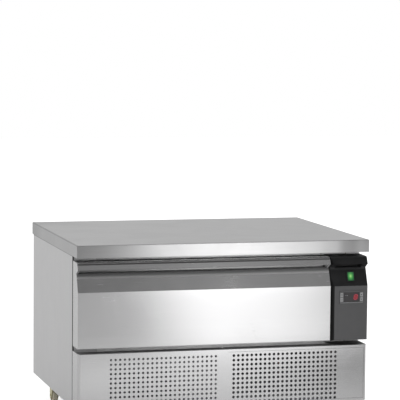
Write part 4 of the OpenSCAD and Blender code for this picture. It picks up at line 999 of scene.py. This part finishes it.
# %% The card in front
CARD_Y = -1.05
CARD_LEFT, CARD_RIGHT, CARD_TOP = -1.0, 1.4, 1.7
COVER_PLACES = (-0.6, -0.267, -0.168, -0.068, 0.031, 0.13, 0.229, 0.328, 0.428, 0.527, 0.626, 0.725, 1.1)
DRAWER_PLACES = (-0.6, -0.267, -0.181, -0.096, -0.01, 0.075, 0.161, 0.246, 0.332, 0.417, 0.503, 0.588, 0.9)
FOOT_PLACES = DRAWER_PLACES[:-1] + (0.64, 0.9)
EDGE_PLACES = COVER_PLACES[:-1] + (0.9,)
SLOPE_PLACES = (-0.6, -0.3, -0.1, 0.10, 0.24, 0.40, 0.60, 0.80, 1.1)
CARD_BANDS = [
    (0.03, COVER_PLACES, (0.82, 0.97, 1.0, 1.06, 1.08, 1.02, 1.02, 0.92, 0.82, 0.6, 0.3, 0.4, 0.45)),
    (0.10, COVER_PLACES, (0.75, 0.89, 0.91, 0.94, 0.91, 0.8, 0.78, 0.73, 0.63, 0.44, 0.15, 0.32, 0.42)),
    (0.15, FOOT_PLACES, (0.46, 0.51, 0.52, 0.57, 0.98, 1.42, 1.93, 1.86, 1.86, 1.86, 1.68, 1.38, 0.8, 0.5)),
    (0.26, DRAWER_PLACES, (0.5, 0.57, 0.58, 0.63, 1.18, 1.47, 1.6, 1.5, 1.4, 1.34, 1.15, 0.96, 0.55)),
    (0.34, DRAWER_PLACES, (0.5, 0.57, 0.58, 0.6, 1.0, 1.35, 1.6, 1.55, 1.45, 1.4, 1.18, 0.96, 0.5)),
    (0.46, EDGE_PLACES, (0.31, 0.32, 0.4, 1.75, 3.1, 3.9, 3.4, 3, 2.9, 2.1, 0.6, 0.28, 0.3)),
    (0.80, SLOPE_PLACES, (0.18, 0.2, 0.22, 0.26, 0.34, 0.29, 0.23, 0.2, 0.2)),
    (1.00, SLOPE_PLACES, (0.165, 0.183, 0.19, 0.225, 0.295, 0.255, 0.215, 0.2, 0.2)),
    (1.17, SLOPE_PLACES, (0.22, 0.25, 0.26, 0.33, 0.44, 0.35, 0.27, 0.23, 0.2)),
]


def stage_sheet(name, corners, material):
    mesh = bpy.data.meshes.new(name)
    mesh.from_pydata(corners, [], [(0, 1, 2, 3)])
    mesh.materials.append(material)
    sheet = bpy.data.objects.new(name, mesh)
    bpy.context.collection.objects.link(sheet)
    return sheet


def card_ramp(tree, along, places, levels, top):
    """A colour ramp of one band's levels, as shares of the brightest one."""
    node = add_node(tree, "ShaderNodeValToRGB", [(0, along)])
    stops = node.color_ramp.elements
    last = len(places) - 1
    for index, (x, level) in enumerate(zip(places, levels)):
        position = (x - CARD_LEFT) / (CARD_RIGHT - CARD_LEFT)
        stop = stops[0] if index == 0 else stops[-1] if index == last else stops.new(position)
        stop.position = position
        stop.color = (level / top, level / top, level / top, 1)
    return node.outputs[0]


def card_glow():
    material, tree = bare_material("studio_card_glow")
    axes = add_node(tree, "ShaderNodeSeparateXYZ", [(0, object_place(tree))])
    along = map_range(tree, axes.outputs[0], CARD_LEFT, CARD_RIGHT)
    top = max(max(levels) for _, _, levels in CARD_BANDS)
    below, *first = CARD_BANDS[0]
    color = card_ramp(tree, along, *first, top)
    for height, places, levels in CARD_BANDS[1:]:
        blend = map_range(tree, axes.outputs[2], below, height)
        above = card_ramp(tree, along, places, levels, top)
        color, below = mix_colors(tree, blend, color, above), height
    shine = add_node(tree, "ShaderNodeEmission", [("Color", color), ("Strength", top)])
    add_node(tree, "ShaderNodeOutputMaterial", [("Surface", shine.outputs[0])])
    print("card bands:", len(CARD_BANDS), "brightest", top)
    return material


def make_card():
    corners = [(x, CARD_Y, z) for x, z in rectangle(CARD_LEFT, 0, CARD_RIGHT, CARD_TOP)]
    card = stage_sheet("studio_card", corners, card_glow())
    card.visible_camera = False
    card.visible_shadow = False


make_card()

# %% [markdown]
# The floor is pale and comes out white for the camera, yet it has to keep the unit's shadow. Its shader
# is a plain diffuse white with a share of its own light added for the camera, so a lit part comes out
# white and only the shade under the unit goes darker. The world is a pale grey that is a little lower
# towards the back, where the worktop's top looks, and towards the right: each ramp has its two ends and
# the level at each. The camera sees it as white.

# %% Floor and world
FLOOR_REACH = 14.0
FLOOR_WHITE, FLOOR_OWN_LIGHT = 0.8, 0.62
WORLD_TO_THE_BACK = (-0.2, 0.9, 0.84, 0.72)
WORLD_TO_THE_RIGHT = (-0.35, 0.35, 1.17, 0.96)


def seen_by_camera(tree):
    return tree.nodes.new("ShaderNodeLightPath").outputs["Is Camera Ray"]


def make_floor():
    material, tree = bare_material("studio_floor_paint")
    matt = add_node(tree, "ShaderNodeBsdfDiffuse", [("Color", (FLOOR_WHITE, FLOOR_WHITE, FLOOR_WHITE, 1))])
    share = math_node(tree, "MULTIPLY", seen_by_camera(tree), FLOOR_OWN_LIGHT)
    own = add_node(tree, "ShaderNodeEmission", [("Color", (1, 1, 1, 1)), ("Strength", share)])
    both = add_node(tree, "ShaderNodeAddShader", [(0, matt.outputs[0]), (1, own.outputs[0])])
    add_node(tree, "ShaderNodeOutputMaterial", [("Surface", both.outputs[0])])
    corners = [(x, y, 0) for x, y in rectangle(-FLOOR_REACH, -FLOOR_REACH, FLOOR_REACH, FLOOR_REACH)]
    floor = stage_sheet("studio_floor", corners, material)
    print("floor:", 2 * FLOOR_REACH, "m wide")


def make_world():
    world = bpy.data.worlds.new("studio_world")
    bpy.context.scene.world = world
    world.use_nodes = True
    tree = world.node_tree
    tree.nodes.clear()
    axes = add_node(tree, "ShaderNodeSeparateXYZ",
                    [(0, tree.nodes.new("ShaderNodeTexCoord").outputs["Generated"])])
    behind = map_range(tree, axes.outputs[1], *WORLD_TO_THE_BACK)
    aside = map_range(tree, axes.outputs[0], *WORLD_TO_THE_RIGHT)
    level = math_node(tree, "MULTIPLY", behind, aside)
    soft = add_node(tree, "ShaderNodeBackground", [("Color", (1, 1, 1, 1)), ("Strength", level)])
    white = add_node(tree, "ShaderNodeBackground", [("Color", (1, 1, 1, 1)), ("Strength", 1.0)])
    mix = add_node(tree, "ShaderNodeMixShader",
                   [(0, seen_by_camera(tree)), (1, soft.outputs[0]), (2, white.outputs[0])])
    add_node(tree, "ShaderNodeOutputWorld", [("Surface", mix.outputs[0])])
    print("world:", WORLD_TO_THE_BACK, WORLD_TO_THE_RIGHT)


make_floor()
make_world()
bpy.context.scene.view_settings.view_transform = "Standard"
